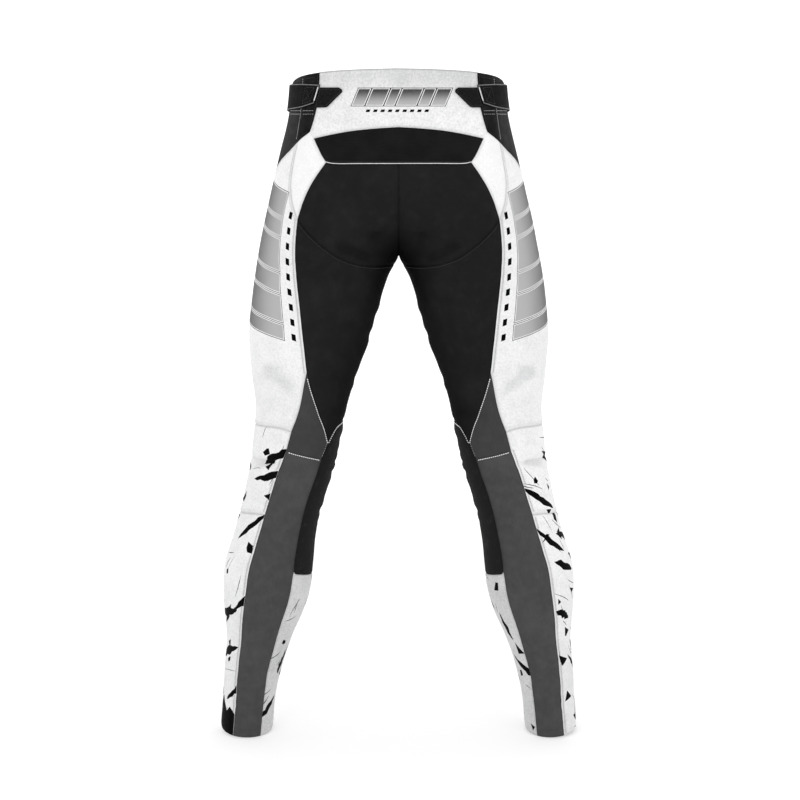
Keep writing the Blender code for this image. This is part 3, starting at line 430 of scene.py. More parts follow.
def at_angle(height, angle):
    """The point of the section at an angle from the outside, positive over the back"""
    s = section(height)
    turn = np.abs(angle)
    reach = np.where(turn < math.pi / 2, s["out"], s["inward"])
    depth = np.where(np.asarray(angle) > 0, -s["back"], s["front"])
    return np.stack([s["centre"] + reach * np.cos(turn), s["middle"] + depth * np.sin(turn),
                     np.broadcast_to(height, turn.shape).astype(float)], -1)


# Girths measured once, so that 'around' can be turned into an angle
GIRTH_LOW, GIRTH_STEP = -0.06, 0.005
GIRTH_ROWS, GIRTH_SPANS, GIRTH_MARGIN = 225, 180, 0.001
GIRTH_HEIGHTS = GIRTH_LOW + GIRTH_STEP * np.arange(GIRTH_ROWS)
GIRTH_ANGLES = np.linspace(0.0, math.pi, GIRTH_SPANS + 1)
LEAST = 1e-6  # angle or height that is told from none
HALVINGS = 26  # of the angle searched for a distance around
SIGHTINGS = 14  # of a place whose depth moves it sideways as seen
SETTLINGS = 6  # of a place on the rim or hem


def measured(sign):
    height, angle = np.meshgrid(GIRTH_HEIGHTS, GIRTH_ANGLES, indexing="ij")
    places = at_angle(height, sign * np.maximum(angle, TINY))
    steps = np.linalg.norm(np.diff(places, axis=1), axis=2)
    return np.concatenate([np.zeros((len(height), 1)), np.cumsum(steps, axis=1)], axis=1)


GIRTHS = {1: measured(1), -1: measured(-1)}


def girth_to(height, angle):
    """Distance around, from the outside to an angle"""
    height, angle = np.broadcast_arrays(np.asarray(height, float), np.asarray(angle, float))
    row = np.clip((height - GIRTH_LOW) / GIRTH_STEP, 0, GIRTH_ROWS - 1 - GIRTH_MARGIN)
    low = row.astype(int)
    part = row - low
    at = np.abs(angle) / math.pi * GIRTH_SPANS
    cell = np.clip(at.astype(int), 0, GIRTH_SPANS - 1)
    share = at - cell
    result = np.zeros(height.shape)
    for sign in (1, -1):
        lower, upper = (GIRTHS[sign][k, cell] * (1 - share) + GIRTHS[sign][k, cell + 1] * share
                        for k in (low, low + 1))
        length = lower * (1 - part) + upper * part
        result = np.where((angle >= 0) == (sign > 0), sign * length, result)
    return result


def angle_of(around, height):
    """The angle that lies a distance around the section"""
    around, height = np.broadcast_arrays(np.asarray(around, float), np.asarray(height, float))
    low = np.zeros(around.shape)
    high = np.full(around.shape, math.pi)
    sign = np.where(around >= 0, 1.0, -1.0)
    for _ in range(HALVINGS):
        middle = (low + high) / 2
        short = np.abs(girth_to(height, sign * middle)) < np.abs(around)
        low = np.where(short, middle, low)
        high = np.where(short, high, middle)
    return sign * (low + high) / 2


def back_end(height):
    return girth_to(height, section(height)["end"])


def front_end(height):
    return girth_to(height, -section(height)["end"])


def smooth_surface(around, height):
    """The cloth without its folds. Past the inseam it goes on over the other side"""
    around, height = np.broadcast_arrays(np.asarray(around, float), np.asarray(height, float))
    last, first, below = back_end(height), front_end(height), height < FORK_HEIGHT
    around = np.where(below & (around > last), around - last + first, around)
    around = np.where(below & (around < first), around - first + last, around)
    return at_angle(height, angle_of(around, height))


SLOPE_STEP = 0.0015  # over which the slope of the cloth is measured


def normal(around, height):
    """Outward direction of the cloth"""
    along, up = (smooth_surface(around + a, height + b) - smooth_surface(around - a, height - b)
                 for a, b in ((SLOPE_STEP, 0.0), (0.0, SLOPE_STEP)))
    out = np.cross(up, along)
    return out / np.maximum(np.linalg.norm(out, axis=-1, keepdims=True), SMALLEST)


def angle_at(s, across):
    """The angle at which a section reaches a width"""
    reach = s["out"] if across > s["centre"] else s["inward"]
    return max(math.acos(min(max((across - s["centre"]) / float(reach), -1), 1)), LEAST)


def seen(across, height):
    """The place on the back of the cloth that is seen at this width and height"""
    depth = 0.0
    for _ in range(SIGHTINGS):
        x, z = true_place(across, height, depth)
        s = section(z)
        angle = min(angle_at(s, x), float(s["end"]))
        depth = float(at_angle(z, np.array(angle))[1])
    return float(girth_to(z, angle)), float(z)


def rim_height(around):
    around = np.asarray(around, dtype=float)
    back = RIM_UP_BACK * (1 - np.exp(-np.maximum(around, 0) / RIM_BACK_RUN))
    front = RIM_DOWN_FRONT * (1 - np.exp(np.minimum(around, 0) / RIM_FRONT_RUN))
    return RIM_SIDE + back - front


def hem_height(around):
    places = smooth_surface(around, np.full(np.shape(around), HEM_HEIGHT))
    s = section(HEM_HEIGHT)
    return (HEM_HEIGHT + HEM_UP_FRONT * (places[..., 1] - s["middle"])
            + HEM_UP_OUTSIDE * (places[..., 0] - s["centre"]))


def on_section(height, across, sign):
    return float(girth_to(height, sign * angle_at(section(height), across)))


def settled(way, across):
    """A place on the rim or hem, whose height depends on how far round it lies"""
    edge = rim_height if way.startswith("rim") else hem_height
    sign = -1 if "front" in way else 1
    height = RIM_SIDE if way.startswith("rim") else HEM_HEIGHT
    for _ in range(SETTLINGS):
        if "centre" in way:
            around = float(front_end(height) if sign < 0 else back_end(height))
        else:
            around = on_section(height, across, sign)
        height = float(edge(np.array(around)))
    return around, height


def place(way, across, height):
    """A measured place as (around, height) on the cloth"""
    if way.startswith(("rim", "hem")):
        return settled(way, across)
    if way in ("back centre", "inseam"):
        return float(back_end(height)), height
    if way in ("front centre", "front inseam"):
        return float(front_end(height)), height
    if way == "back":
        return seen(across, height)
    if way == "front":
        return on_section(height, across, -1), height
    s = section(height)
    depth = s["front"] if across > s["middle"] else s["back"]
    angle = math.asin(min(abs(across - s["middle"]) / float(depth), 1))
    return float(girth_to(height, angle if across < s["middle"] else -angle)), height


CURVE_STEPS, STRAIGHT_STEPS, EDGE_STEPS = 24, 40, 160  # points measured along each


def curve_through(points, step):
    """Evenly spaced points on a smooth curve through the given ones, ends kept"""
    points = np.array(points, dtype=float)
    if len(points) == 2:
        fine = np.linspace(points[0], points[1], STRAIGHT_STEPS)
    else:
        ends = [2 * points[0] - points[1], *points, 2 * points[-1] - points[-2]]
        fine = []
        for a, b, c, d in zip(ends, ends[1:], ends[2:], ends[3:]):
            for s in np.linspace(0, 1, CURVE_STEPS, endpoint=False):
                fine.append(0.5 * (2 * b + (c - a) * s + (2 * a - 5 * b + 4 * c - d) * s * s
                                   + (3 * b - a - 3 * c + d) * s ** 3))
        fine = np.array(fine + [points[-1]])
    return spaced(fine, step)


def run_along(line):
    """Distance along a line to each of its points"""
    return np.concatenate([[0], np.cumsum(np.linalg.norm(np.diff(line, axis=0), axis=1))])


def points_at(at, lengths, line):
    return np.stack([np.interp(at, lengths, line[:, k]) for k in (0, 1)], 1)


def spaced(fine, step):
    lengths = run_along(fine)
    count = max(1, round(lengths[-1] / step))
    return points_at(np.linspace(0, lengths[-1], count + 1), lengths, fine)


def edge_curve(kind, start, end, step):
    """A seam that follows the rim, the hem or a centre seam"""
    share = np.linspace(0, 1, EDGE_STEPS)
    if kind in ("rim", "hem", "hem through inseam"):
        around = start[0] + share * (end[0] - start[0])
        if kind == "hem through inseam":
            whole = float(back_end(HEM_HEIGHT) - front_end(HEM_HEIGHT))
            around = start[0] + share * (end[0] + whole - start[0])
        heights = (rim_height if kind == "rim" else hem_height)(around)
        heights = heights + (start[1] - heights[0]) * (1 - share) + (end[1] - heights[-1]) * share
    else:
        # Heights crowd towards the crotch, where the seam turns level
        heights = start[1] + (end[1] - start[1]) * share
        if abs(end[1] - FORK_HEIGHT) < TINY:
            heights = end[1] + (start[1] - end[1]) * (1 - share) ** 2
        if abs(start[1] - FORK_HEIGHT) < TINY:
            heights = start[1] + (end[1] - start[1]) * share ** 2
        around = (front_end if "front" in kind else back_end)(heights)
    return spaced(np.stack([around, heights], 1), step)


def made_seams(step):
    corners = {name: place(*row) for name, row in CORNERS.items()}
    seams = {}
    for name, (start, end, through) in SEAMS.items():
        if isinstance(through, str):
            seams[name] = edge_curve(through, corners[start], corners[end], step)
            continue
        stops = [corners[start], *(place(*row) for row in through), corners[end]]
        if name == "grip lower":
            # Crosses the inseam to the front, so the front end is counted on past it
            height = stops[-1][1]
            whole = float(back_end(height) - front_end(height))
            stops[-1] = (stops[-1][0] + whole, height)
        seams[name] = curve_through(stops, step)
    return seams


def laid_out(layout, seam):
    """A seam's points in the flat layout of a panel"""
    around, height = seam.T
    if layout == "round":
        # Front places are counted on past the inseam
        around = np.where(around < 0, around + back_end(height) - front_end(height), around)
    if layout == "centre":
        around = back_end(height) - around
        around[np.abs(around) < CENTRE_REACH] = 0
    return np.stack([around, height], 1)


SAME_PLACE = 1e-5


def chained(parts):
    """Seams joined end to end into one closed outline, turned round where needed"""
    parts = [np.array(p) for p in parts]
    outline = list(parts.pop(0))
    while parts:
        tail = outline[-1]
        gaps = [min(np.linalg.norm(p[0] - tail), np.linalg.norm(p[-1] - tail)) for p in parts]
        part = parts.pop(int(np.argmin(gaps)))
        if np.linalg.norm(part[-1] - tail) < np.linalg.norm(part[0] - tail):
            part = part[::-1]
        outline += list(part[1:])
    closed = np.linalg.norm(outline[-1] - outline[0]) < SAME_PLACE
    return np.array(outline[:-1] if closed else outline)


def area_of(outline):
    x, y = outline.T
    return 0.5 * float(np.sum(x * np.roll(y, -1) - np.roll(x, -1) * y))


def left_handed(outline):
    """An outline with its inside on the left of each side"""
    return outline[::-1] if area_of(outline) < 0 else outline


def unit(runs):
    return runs / np.linalg.norm(runs, axis=1, keepdims=True)


SHARPEST_CORNER = 0.35


def pulled_in(outline, distance):
    """An outline moved inwards"""
    outline = left_handed(outline)
    before = unit(outline - np.roll(outline, 1, 0))
    after = unit(np.roll(outline, -1, 0) - outline)
    inward = np.stack([-before[:, 1] - after[:, 1], before[:, 0] + after[:, 0]], 1)
    size = np.maximum(np.linalg.norm(inward, axis=1, keepdims=True), SHARPEST_CORNER)
    return outline + inward * (2 * distance / size ** 2)


def from_side(points, a, b):
    """How far points are from the straight side between two places"""
    run = b - a
    s = np.clip(((points - a) @ run) / max(run @ run, TINY ** 2), 0, 1)
    return np.linalg.norm(points - a - s[:, None] * run, axis=1)


def inside_and_near(points, outline):
    """Whether points lie in an outline, and how far they are from it"""
    inside = np.zeros(len(points), bool)
    near = np.full(len(points), np.inf)
    for a, b in zip(outline, np.roll(outline, -1, 0)):
        crosses = (a[1] > points[:, 1]) != (b[1] > points[:, 1])
        rise = b[1] - a[1] if b[1] != a[1] else TINY
        inside ^= crosses & (points[:, 0] < (b[0] - a[0]) * (points[:, 1] - a[1]) / rise + a[0])
        near = np.minimum(near, from_side(points, a, b))
    return inside, near


def lattice_over(outline, step):
    """Rows of points, every other row moved along by half a step"""
    low, high = outline.min(0), outline.max(0)
    rows = []
    for k in range(math.floor(low[1] / step), math.ceil(high[1] / step)):
        across = np.arange(math.floor(low[0] / step), math.ceil(high[0] / step) + 1) * step
        across = across + (k % 2) * step / 2
        rows.append(np.stack([across, np.full(len(across), k * step)], 1))
    return np.concatenate(rows)


def split_sides(outline, step):
    """An outline with no side longer than a step, so that it follows the curved cloth"""
    parts = []
    for a, b in zip(outline, np.roll(outline, -1, 0)):
        count = max(1, math.ceil(np.linalg.norm(b - a) / step))
        parts.append(a + (b - a) * np.arange(count)[:, None] / count)
    return np.concatenate(parts)


RING_CLEARANCE, LATTICE_CLEARANCE = 0.8, 0.45  # shares of a ring's depth and of the mesh spacing
MERGED = 1e-7  # distance within which points count as one


def filled(outline, step, rings, marks):
    """Points, faces and each face's mark number that fill an outline. Marks are closed outlines
    of print, the later ones on top"""
    outline = left_handed(outline)
    marks = [split_sides(left_handed(mark), step) for mark in marks]
    points = [outline]
    for depth in rings:
        ring = pulled_in(outline, depth)
        inside, near = inside_and_near(ring, outline)
        points.append(ring[inside & (near > RING_CLEARANCE * depth)])
    inner = rings[-1] if rings else 0.0
    lattice = lattice_over(outline, step)
    inside, near = inside_and_near(lattice, outline)
    lattice = lattice[inside & (near > inner + LATTICE_CLEARANCE * step)]
    for mark in marks:
        lattice = lattice[inside_and_near(lattice, mark)[1] > MARK_CLEARANCE * step]
    points.append(lattice)
    faces = [list(range(len(outline)))]
    count = sum(len(p) for p in points)
    for mark in marks:
        points.append(mark)
        faces.append(list(range(count, count + len(mark))))
        count += len(mark)
    found = delaunay_2d_cdt([tuple(p) for p in np.concatenate(points)], [], faces, 1, MERGED)
    kept = [(list(face), max(owners)) for face, owners in zip(found[2], found[5]) if 0 in owners]
    return np.array([tuple(v) for v in found[0]]), [f for f, _ in kept], [m for _, m in kept]


def eased(share):
    return share * share * (3 - 2 * share)


FOLD_LINES = [(place(way, a, b), place(way, c, d), width, depth)
              for way, a, b, c, d, width, depth in FOLDS + CREASES]


# Shares of a fold's length and of its half width
FOLD_ENDS, FOLD_END_FADE, FOLD_REACH = 0.15, 0.45, 1.8


def folded(around, height):
    """How far the folds move the cloth out"""
    move = np.zeros(np.shape(around))
    for start, end, width, depth in FOLD_LINES:
        run = np.array([end[0] - start[0], end[1] - start[1]])
        x, y = around - start[0], height - start[1]
        along = (x * run[0] + y * run[1]) / (run @ run)
        off = np.abs(x * -run[1] + y * run[0]) / math.sqrt(run @ run)
        ends = np.clip((np.minimum(along, 1 - along) + FOLD_ENDS) / FOLD_END_FADE, 0, 1)
        across = np.clip(1 - off / (FOLD_REACH * width), 0, 1)
        move = move + depth * eased(ends) * eased(across)
    return move


def from_ends(around, height):
    """How far places are from the inseam, or from the centre seam above it"""
    return np.minimum(np.abs(around - back_end(height)), np.abs(around - front_end(height)))


def gathered(around, height):
    """Cross ridges of the cloth along the inseam, uneven in length and depth"""
    off = from_ends(around, height)
    move = 0
    for low, high, length, depth, width in GATHERS:
        window = (np.clip((height - low) / GATHER_FADE, 0, 1)
                  * np.clip((high - height) / GATHER_FADE, 0, 1))
        reach = np.clip(1 - off / width, 0, 1)
        sway = GATHER_SWAY * np.sin(height * GATHER_SWAY_RATE)
        swell = 1 - GATHER_SWELL + GATHER_SWELL * np.sin(height * GATHER_SWELL_RATE + 1)
        wave = np.sin(2 * math.pi * (height / length + sway)) * swell
        move = move + depth * window * reach * reach * wave
    return move


def creased_seat(around, height):
    """The crease that the centre seam pulls into the seat, wider towards the crotch"""
    off = back_end(height) - around
    low = np.clip((CENTRE_CREASE_TOP - height) / (CENTRE_CREASE_TOP - FORK_HEIGHT), 0, 1)
    window = np.sqrt(low) * (height > FORK_HEIGHT - LEAST)
    wide = CENTRE_CREASE_WIDE * (1 + CENTRE_CREASE_SPREAD * low * low)
    return -CENTRE_CREASE_DEEP * window * np.exp(-(off / wide) ** 2)


def uneven(places):
    """Slow, slight unevenness of worn cloth"""
    return np.array([sum(depth * noise.noise(Vector(p) * fineness + Vector(shift))
                         for fineness, depth, shift in UNEVEN) for p in places])


def placed(layout, points, side, lift=0.0):
    """World places and outward directions of laid-out points"""
    across, height = points.T
    if layout == "centre":
        flip = np.where(across < 0, -1.0, 1.0)
        around = back_end(height) - np.abs(across)
    else:
        flip = np.full(len(points), float(side))
        around = across
    out = normal(around, height)
    outer = smooth_surface(around, height)
    if layout == "centre":
        middle = np.abs(across) < CENTRE_REACH
        out[middle, 0] = 0
        outer[middle, 0] = 0
    outer[:, 0] *= flip
    out[:, 0] *= flip
    outer[:, 2] -= BELT_HEIGHT
    move = (folded(around, height) + gathered(around, height) + creased_seat(around, height)
            + uneven(outer) + lift)
    moved = outer + held_at_centre(outer, out) * move[:, None]
    moved[np.abs(moved[:, 0]) < CENTRE_SNAP, 0] = 0
    return moved, out


def held_at_centre(places, out):
    """Directions that leave the cloth at the centre seams where it is, so that the halves meet"""
    held = out.copy()
    held[:, 0] *= np.clip(np.abs(places[:, 0]) / CENTRE_HOLD, 0, 1)
    return held


def turned_in(points, near):
    """The dip and pucker of the cloth at a distance from its seams"""
    dip = -TURN_DEPTH * np.exp(-(near / TURN_REACH) ** 2)
    pucker = PUCKER_DEPTH * np.exp(-near / PUCKER_REACH) * np.array([
        noise.noise(Vector((x, y, 0.0)) / PUCKER_LENGTH * 2) for x, y in points])
    return dip + pucker


def rounded_edge(radius):
    """A lift that rounds off the outer edge of a thick strip"""
    def lift(points, near):
        share = np.clip(near / radius, 0, 1)
        return -radius * (1 - np.sqrt(1 - (1 - share) ** 2))
    return lift


def piece_of(name, vertices, faces, materials, marks=None, laid=None, near=None, sharp=50):
    """A named piece of the scene that rides on the garment. Its maps keep each point's place on
    the flat cloth, and its distances from the nearest seam and from the inseam"""
    mesh = bpy.data.meshes.new(name)
    mesh.from_pydata([tuple(v) for v in vertices], [], faces)
    for material in materials:
        mesh.materials.append(material)
    if marks is not None:
        mesh.polygons.foreach_set("material_index", marks)
    if laid is not None:
        corners = np.empty(len(mesh.loops), dtype=np.int64)
        mesh.loops.foreach_get("vertex_index", corners)
        for layer, spots in (("laid", laid), ("seam", near[:, :2]), ("fold", near[:, 2:])):
            found = mesh.uv_layers.new(name=layer)
            found.uv.foreach_set("vector", np.asarray(spots, dtype=np.float32)[corners].ravel())
    work = bmesh.new()
    work.from_mesh(mesh)
    bmesh.ops.delete(work, geom=[v for v in work.verts if not v.link_faces], context="VERTS")
    bmesh.ops.recalc_face_normals(work, faces=work.faces)
    work.to_mesh(mesh)
    work.free()
    mesh.shade_smooth()
    mesh.set_sharp_from_angle(angle=math.radians(sharp))
    piece = bpy.data.objects.new(name, mesh)
    bpy.context.scene.collection.objects.link(piece)
    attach(piece, "root")
    return piece


def near_lines(points, lines):
    """How far points are from the nearest of some lines"""
    return np.min([from_side(points, a, b) for line in lines for a, b in zip(line, line[1:])], 0)


def wall(name, layout, outline, side, thickness, materials, marks=(), lift=0.0,
         edge=turned_in, step=CLOTH_STEP, rings=EDGE_RINGS, shown=None):
    """A closed cloth wall: the outer face with its print, the lining inside, and the edge round it.
    Materials are the cloth, the lining, and one for each mark. Shown are the seams that dip, all
    round the outline where none are given"""
    outline = pulled_in(outline, SEAM_GAP / 2)
    shapes = [shape for shape, _ in marks]
    points, faces, found = filled(outline, step, rings, shapes)
    places, normals = placed(layout, points, side, lift)
    near = near_lines(points, shown) if shown else inside_and_near(points, outline)[1]
    held = held_at_centre(places, normals)
    outer = places + held * edge(points, near)[:, None]
    count = len(points)
    sides = dict.fromkeys(pair for face in faces for pair in zip(face, face[1:] + face[:1]))
    rim = [(a, b) for a, b in sides if (b, a) not in sides]
    vertices = np.concatenate([outer, places - held * thickness])
    skins = faces + [[count + i for i in reversed(face)] for face in faces]
    skins += [[b, a, count + a, count + b] for a, b in rim]
    inks = [BARE] + [ink for _, ink in marks]
    indices = [inks[m] for m in found] + [LINING] * len(faces) + [BARE] * len(rim)
    across, height = points.T
    inseam = np.abs(across) if layout == "centre" else from_ends(across, height)
    folds = folded(back_end(height) - inseam if layout == "centre" else across, height)
    gaps = np.stack([near, inseam, folds, folds], 1)
    return piece_of(name, vertices, skins, materials, indices, np.concatenate([points, points]),
                    np.concatenate([gaps, gaps]))


AREA_STEP = 0.012  # mesh spacing that the area is measured with


def surface_area(layout, outline, side):
    """Area of the cloth inside an outline"""
    points, faces, _ = filled(outline, AREA_STEP, (), ())
    places = placed(layout, points, side)[0]
    total = 0.0
    for face in faces:
        a, b, c = (places[i] for i in face[:3])
        total += float(np.linalg.norm(np.cross(b - a, c - a))) / 2
    return total


def cut_of(layout, outline, side):
    """The flat width, length and area that a panel is cut to"""
    width, height = np.ptp(outline, axis=0)
    area = surface_area(layout, outline, side)
    length = height * area / abs(area_of(outline))
    return (float(width), float(length)), area


class Wire:
    """A socket of a node tree. Sums on wires add the nodes that work them out"""

    def __init__(self, tree, socket=None):
        self.tree = tree
        self.socket = socket

    def node(self, kind, settings=None, sockets=None, out=0):
        """A node of a kind, with its settings made first and then its sockets set or linked"""
        made = self.tree.nodes.new("ShaderNode" + kind)
        for key, value in (settings or {}).items():
            setattr(made, key, value)
        for key, value in (sockets or {}).items():
            if isinstance(value, Wire):
                self.tree.links.new(value.socket, made.inputs[key])
            else:
                made.inputs[key].default_value = value
        return Wire(self.tree, made.outputs[out])

    def sum_of(self, operation, *values):
        return self.node("Math", {"operation": operation}, dict(enumerate(values)))

    def __add__(self, other):
        return self.sum_of("ADD", self, other)

    def __rsub__(self, other):
        return self.sum_of("SUBTRACT", other, self)

    def __mul__(self, other):
        return self.sum_of("MULTIPLY", self, other)

    def __abs__(self):
        return self.sum_of("ABSOLUTE", self)

    __radd__ = __add__

    def wave(self, length):
        """A sine wave of a length"""
        return self.sum_of("SINE", self * (2 * math.pi / length))

    def between(self, low, high, share=1.0):
        """0 below low, the share above high, and smooth in between"""
        settings = {"interpolation_type": "SMOOTHSTEP"}
        return self.node("MapRange", settings, {0: self, 1: low, 2: high, 4: share})

    def blend(self, first, second):
        """A colour from first to second as this wire goes from 0 to 1"""
        return self.node("Mix", {"data_type": "RGBA"}, {0: self, 6: first, 7: second}, 2)


def rgb(shade, tint=(1.0, 1.0, 1.0)):
    return tuple(shade * t for t in tint) + (1.0,)


def finish(name, build, **constants):
    """A material whose build function returns its colour, roughness and height wires. Constants
    are sockets of the shader that stay the same all over"""
    material = bpy.data.materials.new(name)
    material.use_nodes = True
    tree = material.node_tree
    shader = tree.nodes["Principled BSDF"]
    start = Wire(tree)
    colour, roughness, relief = build(start)
    for socket, value in constants.items():
        shader.inputs[socket.replace("_", " ")].default_value = value
    bump = start.node("Bump", None, {"Strength": 1.0, "Distance": 1.0, "Height": relief})
    for wire, socket in ((colour, "Base Color"), (roughness, "Roughness"), (bump, "Normal")):
        if wire is not None:
            tree.links.new(wire.socket, shader.inputs[socket])
    return material


def kept_map(start, layer, part=0):
    """One of the maps that the mesh keeps for each point"""
    return start.node("SeparateXYZ", None, {0: start.node("UVMap", {"uv_map": layer})}, part)


def flat_place(start):
    """Place on the flat cloth, in metres: across and up"""
    return kept_map(start, "laid"), kept_map(start, "laid", 1)


def seam_shade(start, reach, part=0):
    """Mask for painted shade: 1 in a seam, fading to 0 a reach away from it"""
    return 1 - kept_map(start, "seam", part).between(0.0, reach)


FOLD_SHOWN = (0.0002, 0.0045)  # depths at which a fold starts to darken and is darkest


def fold_shade(start):
    """Mask for painted shade: 0 where the cloth is flat, 1 at the bottom of a deep fold"""
    sunk = (kept_map(start, "fold") * -1).between(*FOLD_SHOWN)
    return sunk * sunk


def object_place(start):
    return start.node("TexCoord", out=3)


def clouds(start, spot, size, detail=3.0, roughness=0.5):
    """Smooth noise from 0 to 1, one blot about the given size"""
    return start.node("TexNoise", None, {
        "Vector": spot, "Scale": 1.0 / size, "Detail": detail, "Roughness": roughness})


def woven(pitch):
    """Height of a plain weave: over and under in both directions, from -1 to 1"""
    return lambda across, up: across.wave(2 * pitch) * up.wave(2 * pitch)


def chevrons(pitch, length, height):
    """Yarns that run in zigzags of a length and height"""
    return lambda across, up: (across * (2 * math.pi / pitch)
                               + abs(up.wave(2 * length)) * height).wave(2 * math.pi)


# Dust on the shell towards the hems, painted shade in a band under the rim and painted shade in the
# folds: the heights that each fades over, and how much there is
HEM_DUST, HEM_DUST_SHARE, RIM_PAINTED_SHADE, FOLD_PAINTED_SHADE = (-0.05, 0.42), 0.35, (0.945, 0.990, 0.45), 0.5
# Pitch of the shell's weave, and the reach and strength of the painted shade along its seams
SHELL_WEAVE, SHELL_SEAM, SHELL_SEAM_SHARE = 0.0011, 0.0030, 0.5


def shell_look(tone, seams=False):
    """Coated woven shell: fine weave, slight mottling, dustier towards the hems, with painted shade
    in its folds and in a band under the rim, and greyer in its seams, where the grey is painted
    shade. Tone gives the wire of the cloth or of its print"""
    def build(start):
        across, up = flat_place(start)
        body = object_place(start)
        mottle = clouds(start, body, size=0.022, detail=5.0, roughness=0.62)
        speck = clouds(start, body, size=0.0030, detail=2.0, roughness=0.6)
        broad = clouds(start, body, size=0.16, detail=2.0)
        # Mottling, specks and hem dust are the cloth's own; the fold and rim terms are painted
        # shade
        soil_and_shade = (mottle.between(0.35, 0.75, share=0.26) + speck.between(0.35, 0.7, share=0.42)
                + broad.between(0.4, 0.7, share=0.2) + fold_shade(start) * FOLD_PAINTED_SHADE
                + (1 - up.between(*HEM_DUST)) * HEM_DUST_SHARE + up.between(*RIM_PAINTED_SHADE))
        colour = tone(across, up, soil_and_shade)
        if seams:
            # Painted shade along the seams
            colour = (seam_shade(start, SHELL_SEAM) * SHELL_SEAM_SHARE).blend(colour, rgb(0.36))
        relief = woven(SHELL_WEAVE)(across, up) * 0.00006 + mottle * 0.0005 + speck * 0.00008
        return colour, 0.52 + mottle * 0.12, relief
    return build


def shell_tone(clean, dusty):
    """Plain shell between two brightnesses"""
    return lambda across, up, soil_and_shade: soil_and_shade.blend(rgb(clean, (1.0, 1.0, 0.998)),
                                               rgb(dusty, (0.995, 1.0, 1.01)))


def ink_black(across, up, soil_and_shade):
    return soil_and_shade.blend(rgb(0.0012), rgb(0.0045))


def ink_faded(along, light, dark):
    """Ink that runs from grey at one place to black at another, going up or across"""
    def tone(across, up, soil_and_shade):
        rise = (up if along == "up" else across).between(light, dark)
        return (soil_and_shade * 0.15).blend(rise.blend(rgb(0.42), rgb(0.012)), rgb(0.4))
    return tone


# Painted shade in the hollow at the crotch: where it fades sideways, how far down it is, where it
# fades upright
HOLLOW_WIDE, HOLLOW_DOWN, HOLLOW_TALL = (0.0, 0.060), 0.262, (0.02, 0.085)
# Painted shade towards the inseam: how far it reaches, and the heights over which it fades out
# under the crotch; then how strongly each painted shade darkens the cloth
LEG_SHADE, LEG_SHADE_TOP = 0.085, (FORK_HEIGHT - 0.03, FORK_HEIGHT + 0.02)
DEEP = dict(fork=0.85, seam=0.3, leg=0.9, fold=0.25)  # how strongly each darkens the cloth


def thigh_look(start):
    """Four-way stretch twill: close slanted ribs, matt, a little worn where it rubs, with painted
    shade at the crotch, towards the inseam, along its seams and in its folds
    """
    across, up = flat_place(start)
    body = object_place(start)
    mottle = clouds(start, body, size=0.018, detail=4.0, roughness=0.6)
    broad = clouds(start, body, size=0.09, detail=2.0)
    worn = mottle.between(0.4, 0.8, share=0.55) + broad.between(0.45, 0.75, share=0.35)
    cloth = worn.blend(rgb(0.0128), rgb(0.0205, (1.0, 1.0, 1.02)))
    sideways, level = (start.node("SeparateXYZ", None, {0: body}, k) for k in (0, 2))
    fork = ((1 - abs(sideways).between(*HOLLOW_WIDE))
            * (1 - abs(level + HOLLOW_DOWN).between(*HOLLOW_TALL)))
    leg = seam_shade(start, LEG_SHADE, 1) * (1 - up.between(*LEG_SHADE_TOP))
    # Painted shade: darker at the crotch, towards the inseam, along the seams and in the folds
    deep = (fork * DEEP["fork"] + seam_shade(start, 0.0024) * DEEP["seam"] + leg * DEEP["leg"]
            + fold_shade(start) * DEEP["fold"])
    twill = (across + up * 0.8).wave(0.0013)
    return (deep.blend(cloth, rgb(0.0016)), 0.72 + mottle * 0.14,
            twill * 0.00006 + mottle * 0.0005)


def mottled_look(mottle, shown, dark, light, rough, relief, pattern=None, height=0.0):
    """A plain colour, mottled from dark to light, with a repeated pattern of yarn. Mottle is the
    size, detail and roughness of its blots, rough the least roughness and what they add"""
    def build(start):
        blots = clouds(start, object_place(start), *mottle)
        depth = blots * relief
        if pattern:
            depth = pattern(*flat_place(start)) * height + depth
        return (blots.between(*shown).blend(rgb(dark), rgb(light)),
                rough[0] + blots * rough[1], depth)
    return build


def side_look(dark, light):
    """Plain black shell of the waist"""
    return mottled_look(mottle=(0.012, 4.0, 0.6), shown=(0.3, 0.8), dark=dark, light=light,
                        rough=(0.66, 0.15), relief=0.0004, pattern=woven(0.0010), height=0.00008)


def thread_look(dark, light):
    """Twisted sewing thread"""
    return mottled_look(mottle=(0.0016, 2.0), shown=(0.3, 0.7), dark=dark, light=light,
                        rough=(0.55, 0.2), relief=0.0001)


# Smooth elastic with fine level cords
SATIN = mottled_look(mottle=(0.03, 3.0), shown=(0.3, 0.75), dark=0.0050, light=0.0085,
                     rough=(0.48, 0.12), relief=0.0004,
                     pattern=lambda across, up: up.wave(0.0021), height=0.00011)
# Woven strap
WEBBING = mottled_look(mottle=(0.01, 4.0), shown=(0.35, 0.8), dark=0.0038, light=0.0115,
                       rough=(0.66, 0.14), relief=0.0003,
                       pattern=chevrons(pitch=0.0026, length=0.005, height=3), height=0.00012)


